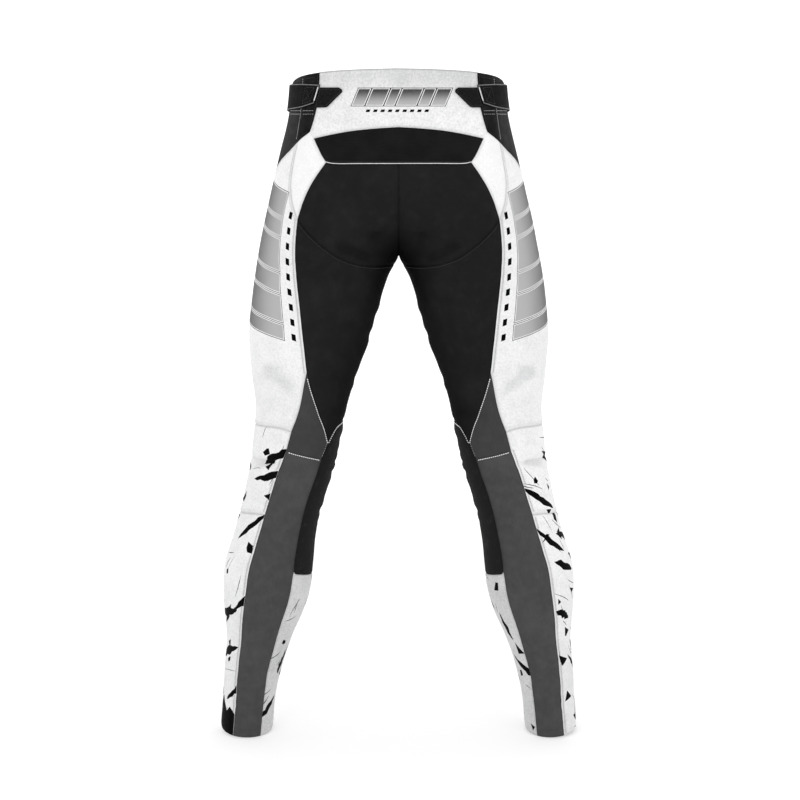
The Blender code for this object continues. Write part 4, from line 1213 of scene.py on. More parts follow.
def ribbed_look(dark, light):
    """Grey accordion stretch: upright ribs crossed by a faint knit, with painted shade along its
    seams
    """
    def build(start):
        across, up = flat_place(start)
        body = object_place(start)
        mottle = clouds(start, body, size=0.015, detail=4.0, roughness=0.6)
        broad = clouds(start, body, size=0.11, detail=2.0)
        shade = mottle.between(0.3, 0.75, share=0.6) + broad.between(0.4, 0.7, share=0.4)
        # Painted shade along the seams
        colour = (seam_shade(start, 0.0022) * 0.35).blend(
            shade.blend(rgb(dark), rgb(light)), rgb(0.03))
        relief = across.wave(0.0022) * 0.00013 + up.wave(0.0012) * 0.00003 + mottle * 0.0004
        return colour, 0.70 + mottle * 0.12, relief
    return build


def leather_look(start):
    """Suede grip: pebbled grain, scuffed lighter on the high spots"""
    body = object_place(start)
    grain = start.node("TexVoronoi", {"feature": "DISTANCE_TO_EDGE"},
                       {"Vector": body, "Scale": 420.0})
    mottle = clouds(start, body, size=0.014, detail=5.0, roughness=0.65)
    colour = mottle.between(0.52, 0.8).blend(rgb(0.0115), rgb(0.028))
    return colour, 0.74 + mottle * 0.16, grain.between(0.0, 0.35) * 0.00016 + mottle * 0.0006


def lining_look(start):
    """Open mesh lining of the inside"""
    holes = woven(0.0024)(*flat_place(start))
    colour = (holes * 0.5 + 0.5).between(0.55, 0.9).blend(rgb(0.13), rgb(0.05))
    return colour, 0.8 + clouds(start, object_place(start), size=0.02) * 0.1, holes * -0.0002


def pile_look(start):
    """Hook tape: a dense stubble"""
    body = object_place(start)
    stubble = start.node("TexVoronoi", None, {"Vector": body, "Scale": 900.0})
    colour = stubble.between(0.1, 0.6).blend(rgb(0.026), rgb(0.005))
    return colour, 0.82 + clouds(start, body, size=0.006) * 0.1, stubble * -0.0004


def metal_look(start):
    """Brushed nickel with fine scratches"""
    body = object_place(start)
    stretched = start.node("Mapping", None, {0: body, "Scale": (1.0, 1.0, 14.0)})
    brush = clouds(start, stretched, size=0.0012, detail=4.0)
    spots = clouds(start, body, size=0.006)
    colour = spots.between(0.4, 0.75).blend(rgb(0.55), rgb(0.42, (1.0, 0.99, 0.97)))
    return colour, 0.24 + brush * 0.22, brush * 0.00002


YOKE_BARS = (0.017, 0.024, 0.013, 0.029, 0.015, 0.020)  # widths, from left to right
YOKE_BAR_GAP, YOKE_BAR_LEAN = 0.0045, 0.010
YOKE_BAR_TOP, YOKE_BAR_LOW = 0.9740, 0.9500
YOKE_DASHES, YOKE_DASH, YOKE_DASH_GAP = 9, 0.0060, 0.0052
YOKE_DASH_TOP, YOKE_DASH_LOW, YOKE_DASH_LEAN = 0.9430, 0.9390, 0.0015
THIGH_BARS = (0.034, 0.022, 0.045, 0.026, 0.038, 0.020)  # heights, from the top down
THIGH_BAR_TOP, THIGH_BAR_GAP, THIGH_BAR_LEAN = 0.818, 0.0060, 0.020
THIGH_BAR_EDGE, THIGH_BAR_WIDTH = 0.030, 0.095  # from the thigh edge seam, and how wide
THIGH_DASHES, THIGH_DASH, THIGH_DASH_GAP, THIGH_DASH_WIDTH = 9, 0.0100, 0.0125, 0.0065
THIGH_DASH_EDGE, THIGH_DASH_TOP, THIGH_DASH_LEAN = 0.010, 0.790, 0.002

# Where the ink of each group of bars is light, and where it is dark
YOKE_FADE = [place("back", 0.0, height)[1] for height in (YOKE_BAR_LOW, YOKE_BAR_TOP)]
THIGH_REAR = place("back", 0.155, 0.700)[0] - THIGH_BAR_EDGE
THIGH_FADE = (THIGH_REAR, THIGH_REAR - THIGH_BAR_WIDTH)


def matt(sheen, shine, roughness=0.5):
    """Constants of matt cloth"""
    return dict(Sheen_Weight=sheen, Sheen_Roughness=roughness, Specular_IOR_Level=shine)


# The finishes: their look, and the constants of their shader
FINISHES = {name: finish(name.replace(" ", "_"), look, **constants) for constants, looks in (
    (matt(sheen=0.05, shine=0.25, roughness=0.4), {
        "shell cloth": shell_look(shell_tone(0.86, 0.64), True),
        "yoke cloth": shell_look(shell_tone(0.85, 0.56), True),
        "hip cloth": shell_look(shell_tone(0.87, 0.74), True),
        # A greyer copy of the shell cloth: painted shade for the inner side of the shin
        "inner shell painted shade": shell_look(shell_tone(0.70, 0.46), True),
        "yoke print": shell_look(ink_faded("up", *YOKE_FADE)),
        "thigh print": shell_look(ink_faded("across", *THIGH_FADE)),
    }),
    (dict(Specular_IOR_Level=0.02), {"shell print": shell_look(ink_black)}),
    (matt(sheen=0.002, shine=0.012), {"thigh cloth": thigh_look}),
    (matt(sheen=0.008, shine=0.05), {
        "side cloth": side_look(0.020, 0.036),
        "waist cloth": side_look(0.006, 0.015),
        "panel satin": SATIN,
        "ribbed stretch": ribbed_look(0.055, 0.076),
        "knee stretch": ribbed_look(0.043, 0.056),
        "grip leather": leather_look,
        "lining mesh": lining_look,
        "strap webbing": WEBBING,
        "hook tape": pile_look,
    }),
    ({}, {
        "white thread": thread_look(0.62, 0.82),
        "soft thread": thread_look(0.36, 0.52),
        "contrast thread": thread_look(0.84, 0.97),
        "grey thread": thread_look(0.30, 0.48),
        "black thread": thread_look(0.010, 0.022),
        "edge binding": thread_look(0.09, 0.19),
        "piping cord": thread_look(0.55, 0.75),
        "rim shade cord": thread_look(0.42, 0.55),
    }),
    (dict(Metallic=1.0), {"snap metal": metal_look}),
) for name, look in looks.items()}


# Print

OUTLINE_GAP, OUTLINE_WIDTH = 0.0012, 0.0009


def ringed(shape):
    """A faded shape with a thin line round it: the line, the bare cloth inside it, the fill"""
    return [(pulled_in(shape, -OUTLINE_GAP - OUTLINE_WIDTH), BLACK_INK),
            (pulled_in(shape, -OUTLINE_GAP), BARE), (shape, FADED_INK)]


def yoke_shape(left, right, low, top, lean):
    """A slanted shape on the yoke, given as seen from behind. Negative widths are on the other
    side of the centre"""
    shape = []
    for across, height in ((left, low), (right, low), (right + lean, top), (left + lean, top)):
        around, level = place("back", abs(across), height)
        shape.append(((float(back_end(level)) - around) * (1 if across >= 0 else -1), level))
    return np.array(shape)


def yoke_marks():
    """A row of slanted bars across the yoke over a row of small dashes"""
    marks = []
    left = -(sum(YOKE_BARS) + YOKE_BAR_GAP * (len(YOKE_BARS) - 1)) / 2
    for width in YOKE_BARS:
        right = left + width
        marks += ringed(yoke_shape(left, right, YOKE_BAR_LOW, YOKE_BAR_TOP, YOKE_BAR_LEAN))
        left = right + YOKE_BAR_GAP
    for k in range(YOKE_DASHES):
        left = (k - YOKE_DASHES / 2) * (YOKE_DASH + YOKE_DASH_GAP)
        marks.append((yoke_shape(left, left + YOKE_DASH, YOKE_DASH_LOW, YOKE_DASH_TOP,
                                 YOKE_DASH_LEAN), BLACK_INK))
    return marks


def thigh_marks(thigh_edge):
    """Slanted bars down the side of the thigh, and a line of dashes between them and the seam"""
    order = np.argsort(thigh_edge[:, 1])

    def shape(top, tall, near, wide, lean):
        low, far = top - tall, near + wide
        at_low, at_top = (float(np.interp(height, thigh_edge[order, 1], thigh_edge[order, 0]))
                          for height in (low, top))
        return np.array([(at_low - near, low), (at_top - near, top),
                         (at_top - far, top + lean), (at_low - far, low + lean)])

    marks = []
    top = THIGH_BAR_TOP
    for tall in THIGH_BARS:
        marks += ringed(shape(top, tall, THIGH_BAR_EDGE, THIGH_BAR_WIDTH, THIGH_BAR_LEAN))
        top = top - tall - THIGH_BAR_GAP
    for k in range(THIGH_DASHES):
        top = THIGH_DASH_TOP - k * (THIGH_DASH + THIGH_DASH_GAP)
        marks.append((shape(top, THIGH_DASH, THIGH_DASH_EDGE, THIGH_DASH_WIDTH, THIGH_DASH_LEAN),
                      BLACK_INK))
    return marks


STROKE_POINTS, STROKE_BEND, STROKE_TORN, STROKE_TAPER = 11, 0.25, 0.55, 0.7
STROKE_TIP = 1e-5


def stroke(chance, middle, length, width, lean):
    """A torn brush mark, pointed at both ends"""
    along = np.linspace(-0.5, 0.5, STROKE_POINTS)
    bend = chance.uniform(-STROKE_BEND, STROKE_BEND) * length
    upper, lower = [], []
    for k, s in enumerate(along):
        half = width / 2 * math.sin(math.pi * (s + 0.5)) ** STROKE_TAPER
        y = bend * (s * s - 0.25)
        inner = k not in (0, STROKE_POINTS - 1)
        upper.append((s * length, y + half * (1 - inner * chance.uniform(0, STROKE_TORN))
                      + STROKE_TIP))
        if inner:
            lower.append((s * length, y - half * (1 - chance.uniform(0, STROKE_TORN))))
    turn = np.array([[math.cos(lean), math.sin(lean)], [-math.sin(lean), math.cos(lean)]])
    return np.array(upper + lower[::-1]) @ turn + np.array(middle)


def chip(chance, middle, size):
    """A pointed chip with three to five corners"""
    corners = chance.choice((3, 3, 4, 5))
    shape = []
    for k in range(corners):
        turn = 2 * math.pi * (k + chance.uniform(0.15, 0.85)) / corners
        reach = size * chance.uniform(0.35, 1.0) / 2
        shape.append((middle[0] + reach * math.cos(turn), middle[1] + reach * math.sin(turn)))
    return np.array(shape)


# How much of each kind of mark a panel carries: broad strokes, chips, fine scratches, and a seed
TORN = {"outer_knee": (9, 13, 12, 11), "outer_shin": (15, 22, 34, 23), "inner_shin": (6, 9, 16, 37)}
OTHER_SIDE_SEED = 100
# The kinds, with the least and most of each size: length, width and lean, or the whole size
MARK_KINDS = [
    (stroke, (0.035, 0.075), (0.010, 0.019), (0.2, 1.1)),
    (chip, (0.013, 0.032)),
    (stroke, (0.012, 0.042), (0.0010, 0.0020), (0.1, 1.3)),
]


def torn_marks(name, side, outline):
    *counts, seed = TORN[name]
    chance = random.Random(seed + (OTHER_SIDE_SEED if side > 0 else 0))
    low, high = outline.min(0), outline.max(0)

    def spot():
        while True:
            found = np.array([[chance.uniform(low[0], high[0]), chance.uniform(low[1], high[1])]])
            if inside_and_near(found, outline)[0][0]:
                return found[0]

    return [(kind(chance, spot(), *(chance.uniform(*span) for span in spans)), BLACK_INK)
            for count, (kind, *spans) in zip(counts, MARK_KINDS) for _ in range(count)]


# A block of print at the outer hem of the left leg: distance round from the calf seam, height
HEM_BLOCK = [(-0.002, -0.030), (-0.002, 0.022), (0.010, 0.034), (0.018, 0.026), (0.032, 0.048),
             (0.046, 0.030), (0.050, -0.030)]


def hem_block(calf_seam):
    order = np.argsort(calf_seam[:, 1])
    edge = np.interp(0.0, calf_seam[order, 1], calf_seam[order, 0])
    return np.array([(edge - off, height) for off, height in HEM_BLOCK])


# Stitching

STITCH, STITCH_GAP = 0.0027, 0.0006
STITCH_SHOULDERS, STITCH_CROWN = (0.22, 0.78), 0.4  # shares of its length and of its half width
STITCH_ACROSS = {"white thread": 0.00075, "soft thread": 0.00085, "contrast thread": 0.00125,
                 "grey thread": 0.00080, "black thread": 0.00075}
BESIDE_TEST, BESIDE_CLEARANCE = 0.004, 0.7  # how far in is tried, and the share kept free
CORD_CORNERS = 8


def beside(seam, outline, distance):
    """A seam moved into the panel"""
    run = unit(np.gradient(seam, axis=0))
    across = np.stack([-run[:, 1], run[:, 0]], 1)
    middle = slice(len(seam) // 2, len(seam) // 2 + 1)
    test = seam[middle] + across[middle] * BESIDE_TEST
    sign = 1 if inside_and_near(test, outline)[0][0] else -1
    moved = seam + across * distance * sign
    inside, near = inside_and_near(moved, outline)
    return moved[inside & (near > BESIDE_CLEARANCE * distance)]


def round_again(outline):
    """An outline whose first point comes again at its end"""
    return np.concatenate([outline, outline[:1]])


def mirrored(row):
    return row * [-1, 1]


def stitches(name, layout, rows, side, thread, lift=0.0, covered=()):
    """Raised threads along lines on the cloth, each dipping into it at both ends. Covered shapes
    of print hide the threads in them"""
    starts, ends = [], []
    for row in rows:
        if len(row) < 2:
            continue
        lengths = run_along(row)
        count = int(lengths[-1] / (STITCH + STITCH_GAP))
        at = (np.arange(count) + 0.5) * lengths[-1] / max(count, 1)
        starts.append(points_at(at - STITCH / 2, lengths, row))
        ends.append(points_at(at + STITCH / 2, lengths, row))
    starts, ends = np.concatenate(starts), np.concatenate(ends)
    bare = np.ones(len(starts), bool)
    for shape in covered:
        bare &= ~inside_and_near(starts, shape)[0] & ~inside_and_near(ends, shape)[0]
    first, out = placed(layout, starts[bare], side, lift)
    last = placed(layout, ends[bare], side, lift)[0]
    wide = np.cross(unit(last - first), out)
    half = STITCH_ACROSS[thread] / 2
    vertices, faces = [], []
    for a, b, n, w in zip(first, last, out, wide):
        base = len(vertices)
        vertices += [a - n * half, b - n * half]
        for s in STITCH_SHOULDERS:
            middle = a * (1 - s) + b * s + n * half * STITCH_CROWN
            vertices += [middle + way * half for way in (w, n, -w, -n)]
        for k in range(4):
            near, following = base + 2 + k, base + 2 + (k + 1) % 4
            faces += [[base, near, following], [near, near + 4, following + 4, following],
                      [base + 1, following + 4, near + 4]]
    return piece_of(name, vertices, faces, [FINISHES[thread]], sharp=80)


def ring_faces(rings, corners, first=0):
    """Faces between rings of points that have the same number of corners"""
    return [[first + ring * corners + k, first + ring * corners + (k + 1) % corners,
             first + (ring + 1) * corners + (k + 1) % corners, first + (ring + 1) * corners + k]
            for ring in range(rings - 1) for k in range(corners)]


def turns(corners):
    return [2 * math.pi * k / corners for k in range(corners)]


def corded(name, layout, row, side, radius, material, lift=0.0, flat=0.7):
    """A cord laid along a line on the cloth"""
    places, out = placed(layout, row, side, lift)
    wide = np.cross(unit(np.gradient(places, axis=0)), out)
    vertices = [p + w * radius * math.cos(turn) + n * radius * flat * math.sin(turn)
                for p, n, w in zip(places, out, wide) for turn in turns(CORD_CORNERS)]
    faces = ring_faces(len(places), CORD_CORNERS)
    faces += [list(range(CORD_CORNERS))[::-1],
              [(len(places) - 1) * CORD_CORNERS + k for k in range(CORD_CORNERS)]]
    return piece_of(name, vertices, faces, [FINISHES[material]], sharp=70)


DOUBLE = (0.0030, 0.0054)
# Topstitching: thread, distances from the seam, and the seams of each panel that carries it
TOPSTITCHED = [
    ("white thread", (0.0030,), {
        "hip_back": ["seat edge"], "front_thigh": ["waist front", "front centre", "inseam front"],
        "side_thigh": ["knee outside"], "inner_shin": ["calf inside low", "grip lower"],
        "outer_knee": ["grip front"], "outer_shin": ["grip front low", "shin front"],
    }),
    ("white thread", (0.0028,), {"hip_back": ["stretch side"], "back_yoke": ["yoke side"]}),
    ("white thread", DOUBLE, {
        "side_thigh": ["waist side edge", "knee seam side"], "front_thigh": ["thigh front"],
        "outer_knee": ["shin seam"],
    }),
    ("white thread", (0.0060,), {"front_thigh": ["rim thigh"], "back_yoke": ["rim back"]}),
    ("white thread", (0.0120,), {"inner_shin": ["hem inside"], "outer_shin": ["hem outside"]}),
    ("white thread", (0.0026,), {"back_yoke": ["stretch arch"]}),
    ("soft thread", (0.0038,), {"side_thigh": ["thigh edge"]}),
    ("soft thread", (0.0030,), {"side_thigh": ["side back"]}),
    ("soft thread", DOUBLE, {"front_thigh": ["knee seam inner"]}),
    ("soft thread", (0.0036,), {
        "outer_knee": ["calf outside"], "outer_shin": ["calf outside low"],
    }),
    ("contrast thread", (0.0012,), {"knee_back": ["knee inside"]}),
    ("contrast thread", (0.0014,), {"knee_grip": ["grip top back"], "calf": ["knee crease"]}),
    ("grey thread", (0.0026,), {"waist_side": ["side back upper"]}),
    ("grey thread", (0.0016,), {"knee_back": ["knee pit seam"]}),
    ("black thread", (0.0026,), {
        "waist_back": ["yoke side", "waist back low"], "thigh_back": ["seat arc", "inseam back"],
        "calf": ["calf inside"],
    }),
    ("black thread", (0.0060,), {
        "waist_back": ["rim waist back"], "waist_side": ["rim waist side"],
    }),
    ("black thread", (0.0120,), {"calf": ["hem calf"]}),
    ("black thread", (0.0024,), {"stretch_panel": ["stretch lower"]}),
]
# Two level rows under the strap, from one place to another as seen from behind
LEVEL_ROWS = {"waist_back": (0.1300, 0.1465), "waist_side": (0.1495, 0.1650)}
LEVEL_ROW_HEIGHTS = (0.9412, 0.9360)
# Felled seams, whose line shows this far inside the edge of the panel that carries it
FELLED = {("side_thigh", "thigh edge"): 0.0038, ("outer_knee", "calf outside"): 0.0036,
          ("outer_shin", "calf outside low"): 0.0036}
QUIET_SEAMS = ("yoke corner",)  # sewn flat from behind, so that the cloth runs on


def printed(name, side, drawn, outline):
    """The marks on a panel, and the finishes of their inks"""
    if name == "back_yoke":
        return yoke_marks(), ["shell print", "yoke print"]
    if name == "side_thigh":
        return thigh_marks(drawn["thigh edge"]), ["shell print", "thigh print"]
    if name not in TORN:
        return [], []
    marks = torn_marks(name, side, outline)
    if name == "outer_shin" and side < 0:
        marks.append((hem_block(drawn["calf outside low"]), BLACK_INK))
    return marks, ["shell print"]


def stitched_rows(name, thread, drawn, outline, centred):
    """The rows of one thread on a panel"""
    rows = []
    for colour, distances, carriers in TOPSTITCHED:
        for seam in carriers.get(name, ()) if colour == thread else ():
            for distance in distances:
                row = beside(drawn[seam], outline, distance)
                rows += [row, mirrored(row[::-1])] if centred else [row]
    if name in LEVEL_ROWS and thread == "grey thread":
        for height in LEVEL_ROW_HEIGHTS:
            ends = [place("back", across, height) for across in LEVEL_ROWS[name]]
            rows.append(curve_through(ends, SEAM_STEP))
    return rows


def stand_in(node):
    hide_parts(node)


def sheet(layout, outline, side):
    """Works out the flat size and area that a piece is cut to, which nothing uses"""
    flat, area = cut_of(layout, outline, side)


def dressed(name, layout, parts, cloth, side, seams, suffix):
    """One panel with its print and its stitching"""
    drawn = {part: laid_out(layout, seams[part]) for part in parts}
    outline = chained(list(drawn.values()))
    centred = layout == "centre"
    if centred:
        outline = np.concatenate([outline, mirrored(outline[::-1][1:-1])])
    marks, inks = printed(name, side, drawn, outline)
    shown = [beside(seam, outline, FELLED[name, part]) if (name, part) in FELLED else seam
             for part, seam in drawn.items() if part not in QUIET_SEAMS]
    if centred:
        shown += [mirrored(seam) for seam in shown]
    full = name + suffix
    panel = wall(full + "_cloth", layout, outline, side, WALL,
                 [FINISHES[ink] for ink in (cloth, "lining mesh", *inks)], marks, shown=shown)
    stand_in(full)
    inked = [shape for shape, ink in marks if ink != BARE]
    for thread in STITCH_ACROSS:
        rows = stitched_rows(name, thread, drawn, outline, centred)
        if rows:
            stitches(f"{full}_{thread.replace(' ', '_')}", layout, rows, side, thread,
                                 covered=inked)
    sheet(layout, outline, side)


# What lies on the panels, by its upper and lower edge from one end to the other
STRAP_TOP = [
    ("back", 0.1190, 0.9805), ("back", 0.1500, 0.9815), ("side", 0.000, 0.9730),
    ("side", 0.060, 0.9580), ("front", 0.1230, 0.9540),
]
STRAP_LOW = [
    ("back", 0.1275, 0.9520), ("back", 0.1500, 0.9450), ("side", 0.000, 0.9360),
    ("side", 0.060, 0.9270), ("front", 0.1230, 0.9240),
]
HOOK_OUTLINE = [
    ("back", 0.1190, 0.9765), ("back", 0.0907, 0.9765), ("back", 0.0860, 0.9735),
    ("back", 0.0855, 0.9697), ("back", 0.1085, 0.9470), ("back", 0.1110, 0.9460),
    ("back", 0.1258, 0.9457), ("back", 0.1258, 0.9535),
]
# Rounding of the edge of what lies on top, and the rows of points beside it
STRAP_ROUNDING, PATCH_ROUNDING = 0.0010, 0.0007
STRAP_RINGS, HOOK_RINGS, FLY_RINGS = (0.0003, 0.0010), (0.0002, 0.0007), (0.0003, 0.0009)
HOOK_STEP, HOOK_STITCH_EDGE, FLY_STITCH_EDGES = 0.0030, 0.0022, (0.0030, 0.0056)
BOX_FORE, BOX_REAR, BOX_SHARE, BOX_LIFT = 0.16, 0.03, 0.72, 0.0001
FLY_WIDTH, FLY_LOW, FLY_BEND = 0.038, 0.800, 0.06
FLY_FROM_CENTRE, FLY_FROM_RIM = 0.002, 0.003
FLY_POINTS, FLY_BEND_POINTS = 9, 6
SNAP_RADIUS, SNAP_HEIGHT, SNAP_DOWN, SNAP_GAP = 0.0075, 0.003, 0.018, 0.0006
SNAP_CORNERS = 48
BINDING_RADIUS, END_BINDING = 0.0008, 1.25  # and how much thicker it is at the strap's end
EDGE_CORD_RADIUS, PIPING_LIFT = 0.0006, 0.0001


def straight(a, b):
    return curve_through([a, b], LAID_STEP)


def closed_path(points):
    """The points of an outline again, evenly spaced along its straight sides"""
    return np.concatenate([straight(a, b)[:-1] for a, b in zip(points, np.roll(points, -1, 0))])


def laid_on(name, node, outline, side, thickness, finishes, rounding, rings, step=LAID_STEP):
    """A strip that lies on the panels in the place of a solid"""
    piece = wall(name, "half", outline, side, thickness, [FINISHES[key] for key in finishes],
                 lift=LAID_GAP + thickness, edge=rounded_edge(rounding), step=step, rings=rings)
    stand_in(node)
    return piece


def strap(side, hand):
    top, low = (curve_through([place(*row) for row in edge], LAID_STEP)
                for edge in (STRAP_TOP, STRAP_LOW))
    bound_end = straight(low[0], top[0])
    outline = chained([top, straight(top[-1], low[-1]), low, bound_end])
    band = laid_on(f"strap_{hand}_webbing", f"strap_{hand}", outline, side,
                   STRAP_THICKNESS, ["strap webbing"] * 2, STRAP_ROUNDING, STRAP_RINGS)
    lift = LAID_GAP + STRAP_THICKNESS
    height = lift - BINDING_RADIUS / 2
    binding = corded(f"strap_{hand}_binding", "half",
                     round_again(pulled_in(outline, BINDING_RADIUS)), side, BINDING_RADIUS,
                     "edge binding", height)
    end_cord = corded(f"strap_{hand}_end_binding", "half",
                      beside(bound_end, outline, BINDING_RADIUS), side,
                      BINDING_RADIUS * END_BINDING, "piping cord", height)
    # A box with a cross through it, sewn near the slanted end
    corners = [edge[int(share * len(edge))] for edge, share in
               ((top, BOX_REAR), (top, BOX_FORE), (low, BOX_FORE), (low, BOX_REAR))]
    middle = sum(corners) / 4
    box = [middle + (p - middle) * BOX_SHARE for p in corners]
    lines = [straight(box[a], box[b]) for a, b in ((0, 1), (1, 2), (2, 3), (3, 0), (0, 2), (1, 3))]
    sewn = stitches(f"strap_{hand}_box_stitch", "half", lines, side, "black thread",
                    lift=lift + BOX_LIFT)
    sheet("half", outline, side)


def patch(name, node, outline, side, finishes, rings, step, edges, thread):
    """A flat patch, sewn down along its edge"""
    piece = laid_on(f"{node}_{name}", node, outline, side, PATCH_THICKNESS, finishes,
                    PATCH_ROUNDING, rings, step)
    rows = [round_again(pulled_in(outline, edge)) for edge in edges]
    sewn = stitches(f"{node}_stitch", "half", rows, side, thread, lift=LAID_GAP + PATCH_THICKNESS)
    sheet("half", outline, side)


def strap_hook(side, hand):
    outline = closed_path(np.array([place(*row) for row in HOOK_OUTLINE]))
    patch("tape", f"strap_hook_{hand}", outline, side, ["hook tape"] * 2, HOOK_RINGS,
          HOOK_STEP, [HOOK_STITCH_EDGE], "black thread")


def fly_outline():
    """Straight down beside the front centre, back up along a curve that runs into it"""
    top = float(rim_height(front_end(RIM_SIDE))) - FLY_FROM_RIM
    turn = np.linspace(0, math.pi / 2, FLY_BEND_POINTS)[1:]
    lines = [(np.linspace(top, FLY_LOW, FLY_POINTS), 0.0),
             (FLY_LOW + FLY_BEND * (1 - np.cos(turn)), FLY_WIDTH * np.sin(turn)),
             (np.linspace(FLY_LOW + FLY_BEND, top, FLY_BEND_POINTS)[1:], FLY_WIDTH)]
    return np.concatenate([np.stack([front_end(heights) + FLY_FROM_CENTRE + out, heights], 1)
                           for heights, out in lines])


def fly_flap():
    patch("cloth", "fly_flap", closed_path(fly_outline()), -1,
          ["shell cloth", "lining mesh"], FLY_RINGS, LAID_STEP, FLY_STITCH_EDGES, "white thread")


# The snap cap: share of the radius and of the height along its turned profile
SNAP_PROFILE = [
    (1.00, 0.00), (1.00, 0.30), (0.97, 0.48), (0.90, 0.58), (0.82, 0.58), (0.76, 0.50),
    (0.72, 0.52), (0.64, 0.74), (0.50, 0.90), (0.30, 0.98),
]


def snap():
    """A domed cap with a rolled rim, square to the cloth"""
    height = float(rim_height(front_end(RIM_SIDE))) - SNAP_DOWN
    spot = np.array([[float(front_end(height)) + FLY_FROM_CENTRE + FLY_WIDTH / 2, height]])
    base, out = placed("half", spot, -1, LAID_GAP + PATCH_THICKNESS + SNAP_GAP)
    turned = Vector(out[0]).to_track_quat("Z", "Y").to_matrix()
    local = [(SNAP_RADIUS * share * math.cos(turn), SNAP_RADIUS * share * math.sin(turn),
              SNAP_HEIGHT * rise) for share, rise in SNAP_PROFILE for turn in turns(SNAP_CORNERS)]
    vertices = [Vector(base[0]) + turned @ Vector(p) for p in local + [(0, 0, SNAP_HEIGHT)]]
    last = (len(SNAP_PROFILE) - 1) * SNAP_CORNERS
    faces = ring_faces(len(SNAP_PROFILE), SNAP_CORNERS)
    faces += [[last + k, last + (k + 1) % SNAP_CORNERS, last + SNAP_CORNERS]
              for k in range(SNAP_CORNERS)]
    faces.append(list(range(SNAP_CORNERS))[::-1])
    cap = piece_of("waist_snap_cap", vertices, faces, [FINISHES["snap metal"]], sharp=40)
    stand_in("waist_snap")


def edge_cord(name, seam, material, lift):
    """A round cord along a seam of the back, on both sides of its centre"""
    row = laid_out("centre", seam)
    row = row[np.argsort(row[:, 0])]
    corded(name, "centre", np.concatenate([mirrored(row[::-1]), row[1:]]), 1, EDGE_CORD_RADIUS,
           material, lift, 1.0)


def dress():
    seams = made_seams(SEAM_STEP)
    for name, (parts, cloth, above) in CENTRE_PANELS.items():
        dressed(name, "centre", parts, cloth, 1, seams, "")
    for hand, side in (("right", 1), ("left", -1)):
        for name, (layout, parts, cloth, above) in PANELS.items():
            dressed(name, layout, parts, cloth, side, seams, "_" + hand)
        strap(side, hand)
        strap_hook(side, hand)
    edge_cord("stretch_panel_piping", seams["stretch lower"], "piping cord", PIPING_LIFT)
    # A thin grey cord round the yoke rim: a dark line put where the rim's edge shade shows
    edge_cord("back_yoke_rim_edge", seams["rim back"], "rim shade cord", -WALL / 2)
    fly_flap()
    snap()


# The studio, about the garment's origin

PAPER_GLOW_NEAR, PAPER_GLOW_FAR = 0.49, 0.83
GLOW_STARTS, GLOW_GROWS = (-6.5, -4.5), (0.3, 3.0)  # from front to back of the room
FLOOR_DROP = 0.0012  # below the lowest point of the hems
FLOOR_REACH, SWEEP, WALL_TOP = 5.0, 2.0, 3.0
FLOOR_SIDES, SWEEP_STEPS = 96, 12
SKY_BRIGHTNESS = 0.86
LAMPS = {
    # name: (place, width, power)
    "key_light": ((-1.3, -3.2, 1.9), 1.8, 32),
    "fill_light": ((1.9, -2.8, 0.9), 2.0, 16),
    "top_light": ((0.0, 0.3, 2.6), 2.0, 18),
}


def floor_look(start):
    """Matt white paper"""
    fibre = clouds(start, object_place(start), size=0.05)
    return fibre.blend(rgb(0.49), rgb(0.51)), None, fibre * 0.0001


def lit_paper():
    """The paper, which glows a little, more the further back it lies"""
    paper = finish("floor_paper", floor_look, Emission_Strength=1.0, Roughness=0.85)
    start = Wire(paper.node_tree)
    back = start.node("SeparateXYZ", None, {0: object_place(start)}, 1)
    near = back.between(*GLOW_STARTS).blend(rgb(0.0), rgb(PAPER_GLOW_NEAR))
    glow = back.between(*GLOW_GROWS).blend(near, rgb(PAPER_GLOW_FAR))
    shader = start.tree.nodes["Principled BSDF"]
    start.tree.links.new(glow.socket, shader.inputs["Emission Color"])
    return paper


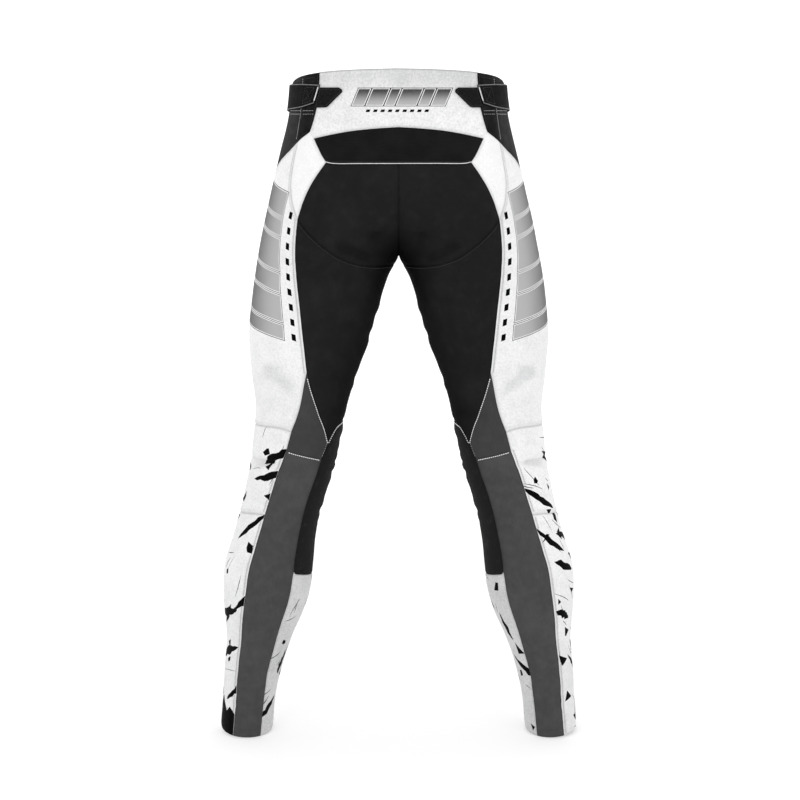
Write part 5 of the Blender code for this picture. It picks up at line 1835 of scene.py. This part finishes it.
def floor():
    """A round paper floor that sweeps up into a wall all about the garment"""
    level = CAD_BOX[0].z - FLOOR_DROP
    bends = [math.pi / 2 * k / SWEEP_STEPS for k in range(SWEEP_STEPS + 1)]
    profile = [(FLOOR_REACH / 2, level)]
    profile += [(FLOOR_REACH + SWEEP * math.sin(bend), level + SWEEP * (1 - math.cos(bend)))
                for bend in bends]
    profile.append((FLOOR_REACH + SWEEP, level + WALL_TOP))
    vertices = [(0.0, 0.0, level)]
    vertices += [(reach * math.cos(turn), reach * math.sin(turn), height)
                 for reach, height in profile for turn in turns(FLOOR_SIDES)]
    faces = [[0, 1 + k, 1 + (k + 1) % FLOOR_SIDES] for k in range(FLOOR_SIDES)]
    faces += [face[::-1] for face in ring_faces(len(profile), FLOOR_SIDES, 1)]
    mesh = bpy.data.meshes.new("floor")
    mesh.from_pydata(vertices, [], faces)
    mesh.shade_smooth()
    mesh.materials.append(lit_paper())
    paper = bpy.data.objects.new("floor", mesh)
    bpy.context.scene.collection.objects.link(paper)


def aimed(name, data, stands_at, aim):
    """A lamp or the camera, turned towards what it looks at"""
    thing = bpy.data.objects.new(name, data)
    thing.location = stands_at
    thing.rotation_mode = "QUATERNION"
    thing.rotation_quaternion = (Vector(aim) - Vector(stands_at)).to_track_quat("-Z", "Y")
    bpy.context.scene.collection.objects.link(thing)
    return thing


def studio():
    for name, (stands_at, wide, power) in LAMPS.items():
        data = bpy.data.lights.new(name, "AREA")
        data.shape = "RECTANGLE"
        data.size, data.size_y = wide, wide
        data.energy = power
        aimed(name, data, stands_at, (0.0, 0.0, LOOKED_AT_HEIGHT - BELT_HEIGHT))
    world = bpy.data.worlds.new("studio")
    world.use_nodes = True
    sky = world.node_tree.nodes["Background"]
    sky.inputs["Color"].default_value = rgb(1.0)
    sky.inputs["Strength"].default_value = SKY_BRIGHTNESS
    bpy.context.scene.world = world
    bpy.context.scene.view_settings.view_transform = "Standard"


def camera():
    data = bpy.data.cameras.new("camera")
    data.lens = LENS
    data.sensor_width = SENSOR
    bpy.context.scene.camera = aimed(
        "camera", data, (SEEN_FROM_SIDE, -SEEN_FROM_DISTANCE, SEEN_FROM_HEIGHT - BELT_HEIGHT),
        (SEEN_FROM_SIDE, 0.0, LOOKED_AT_HEIGHT - BELT_HEIGHT))


camera()
studio()
floor()
dress()

bpy.context.view_layer.update()
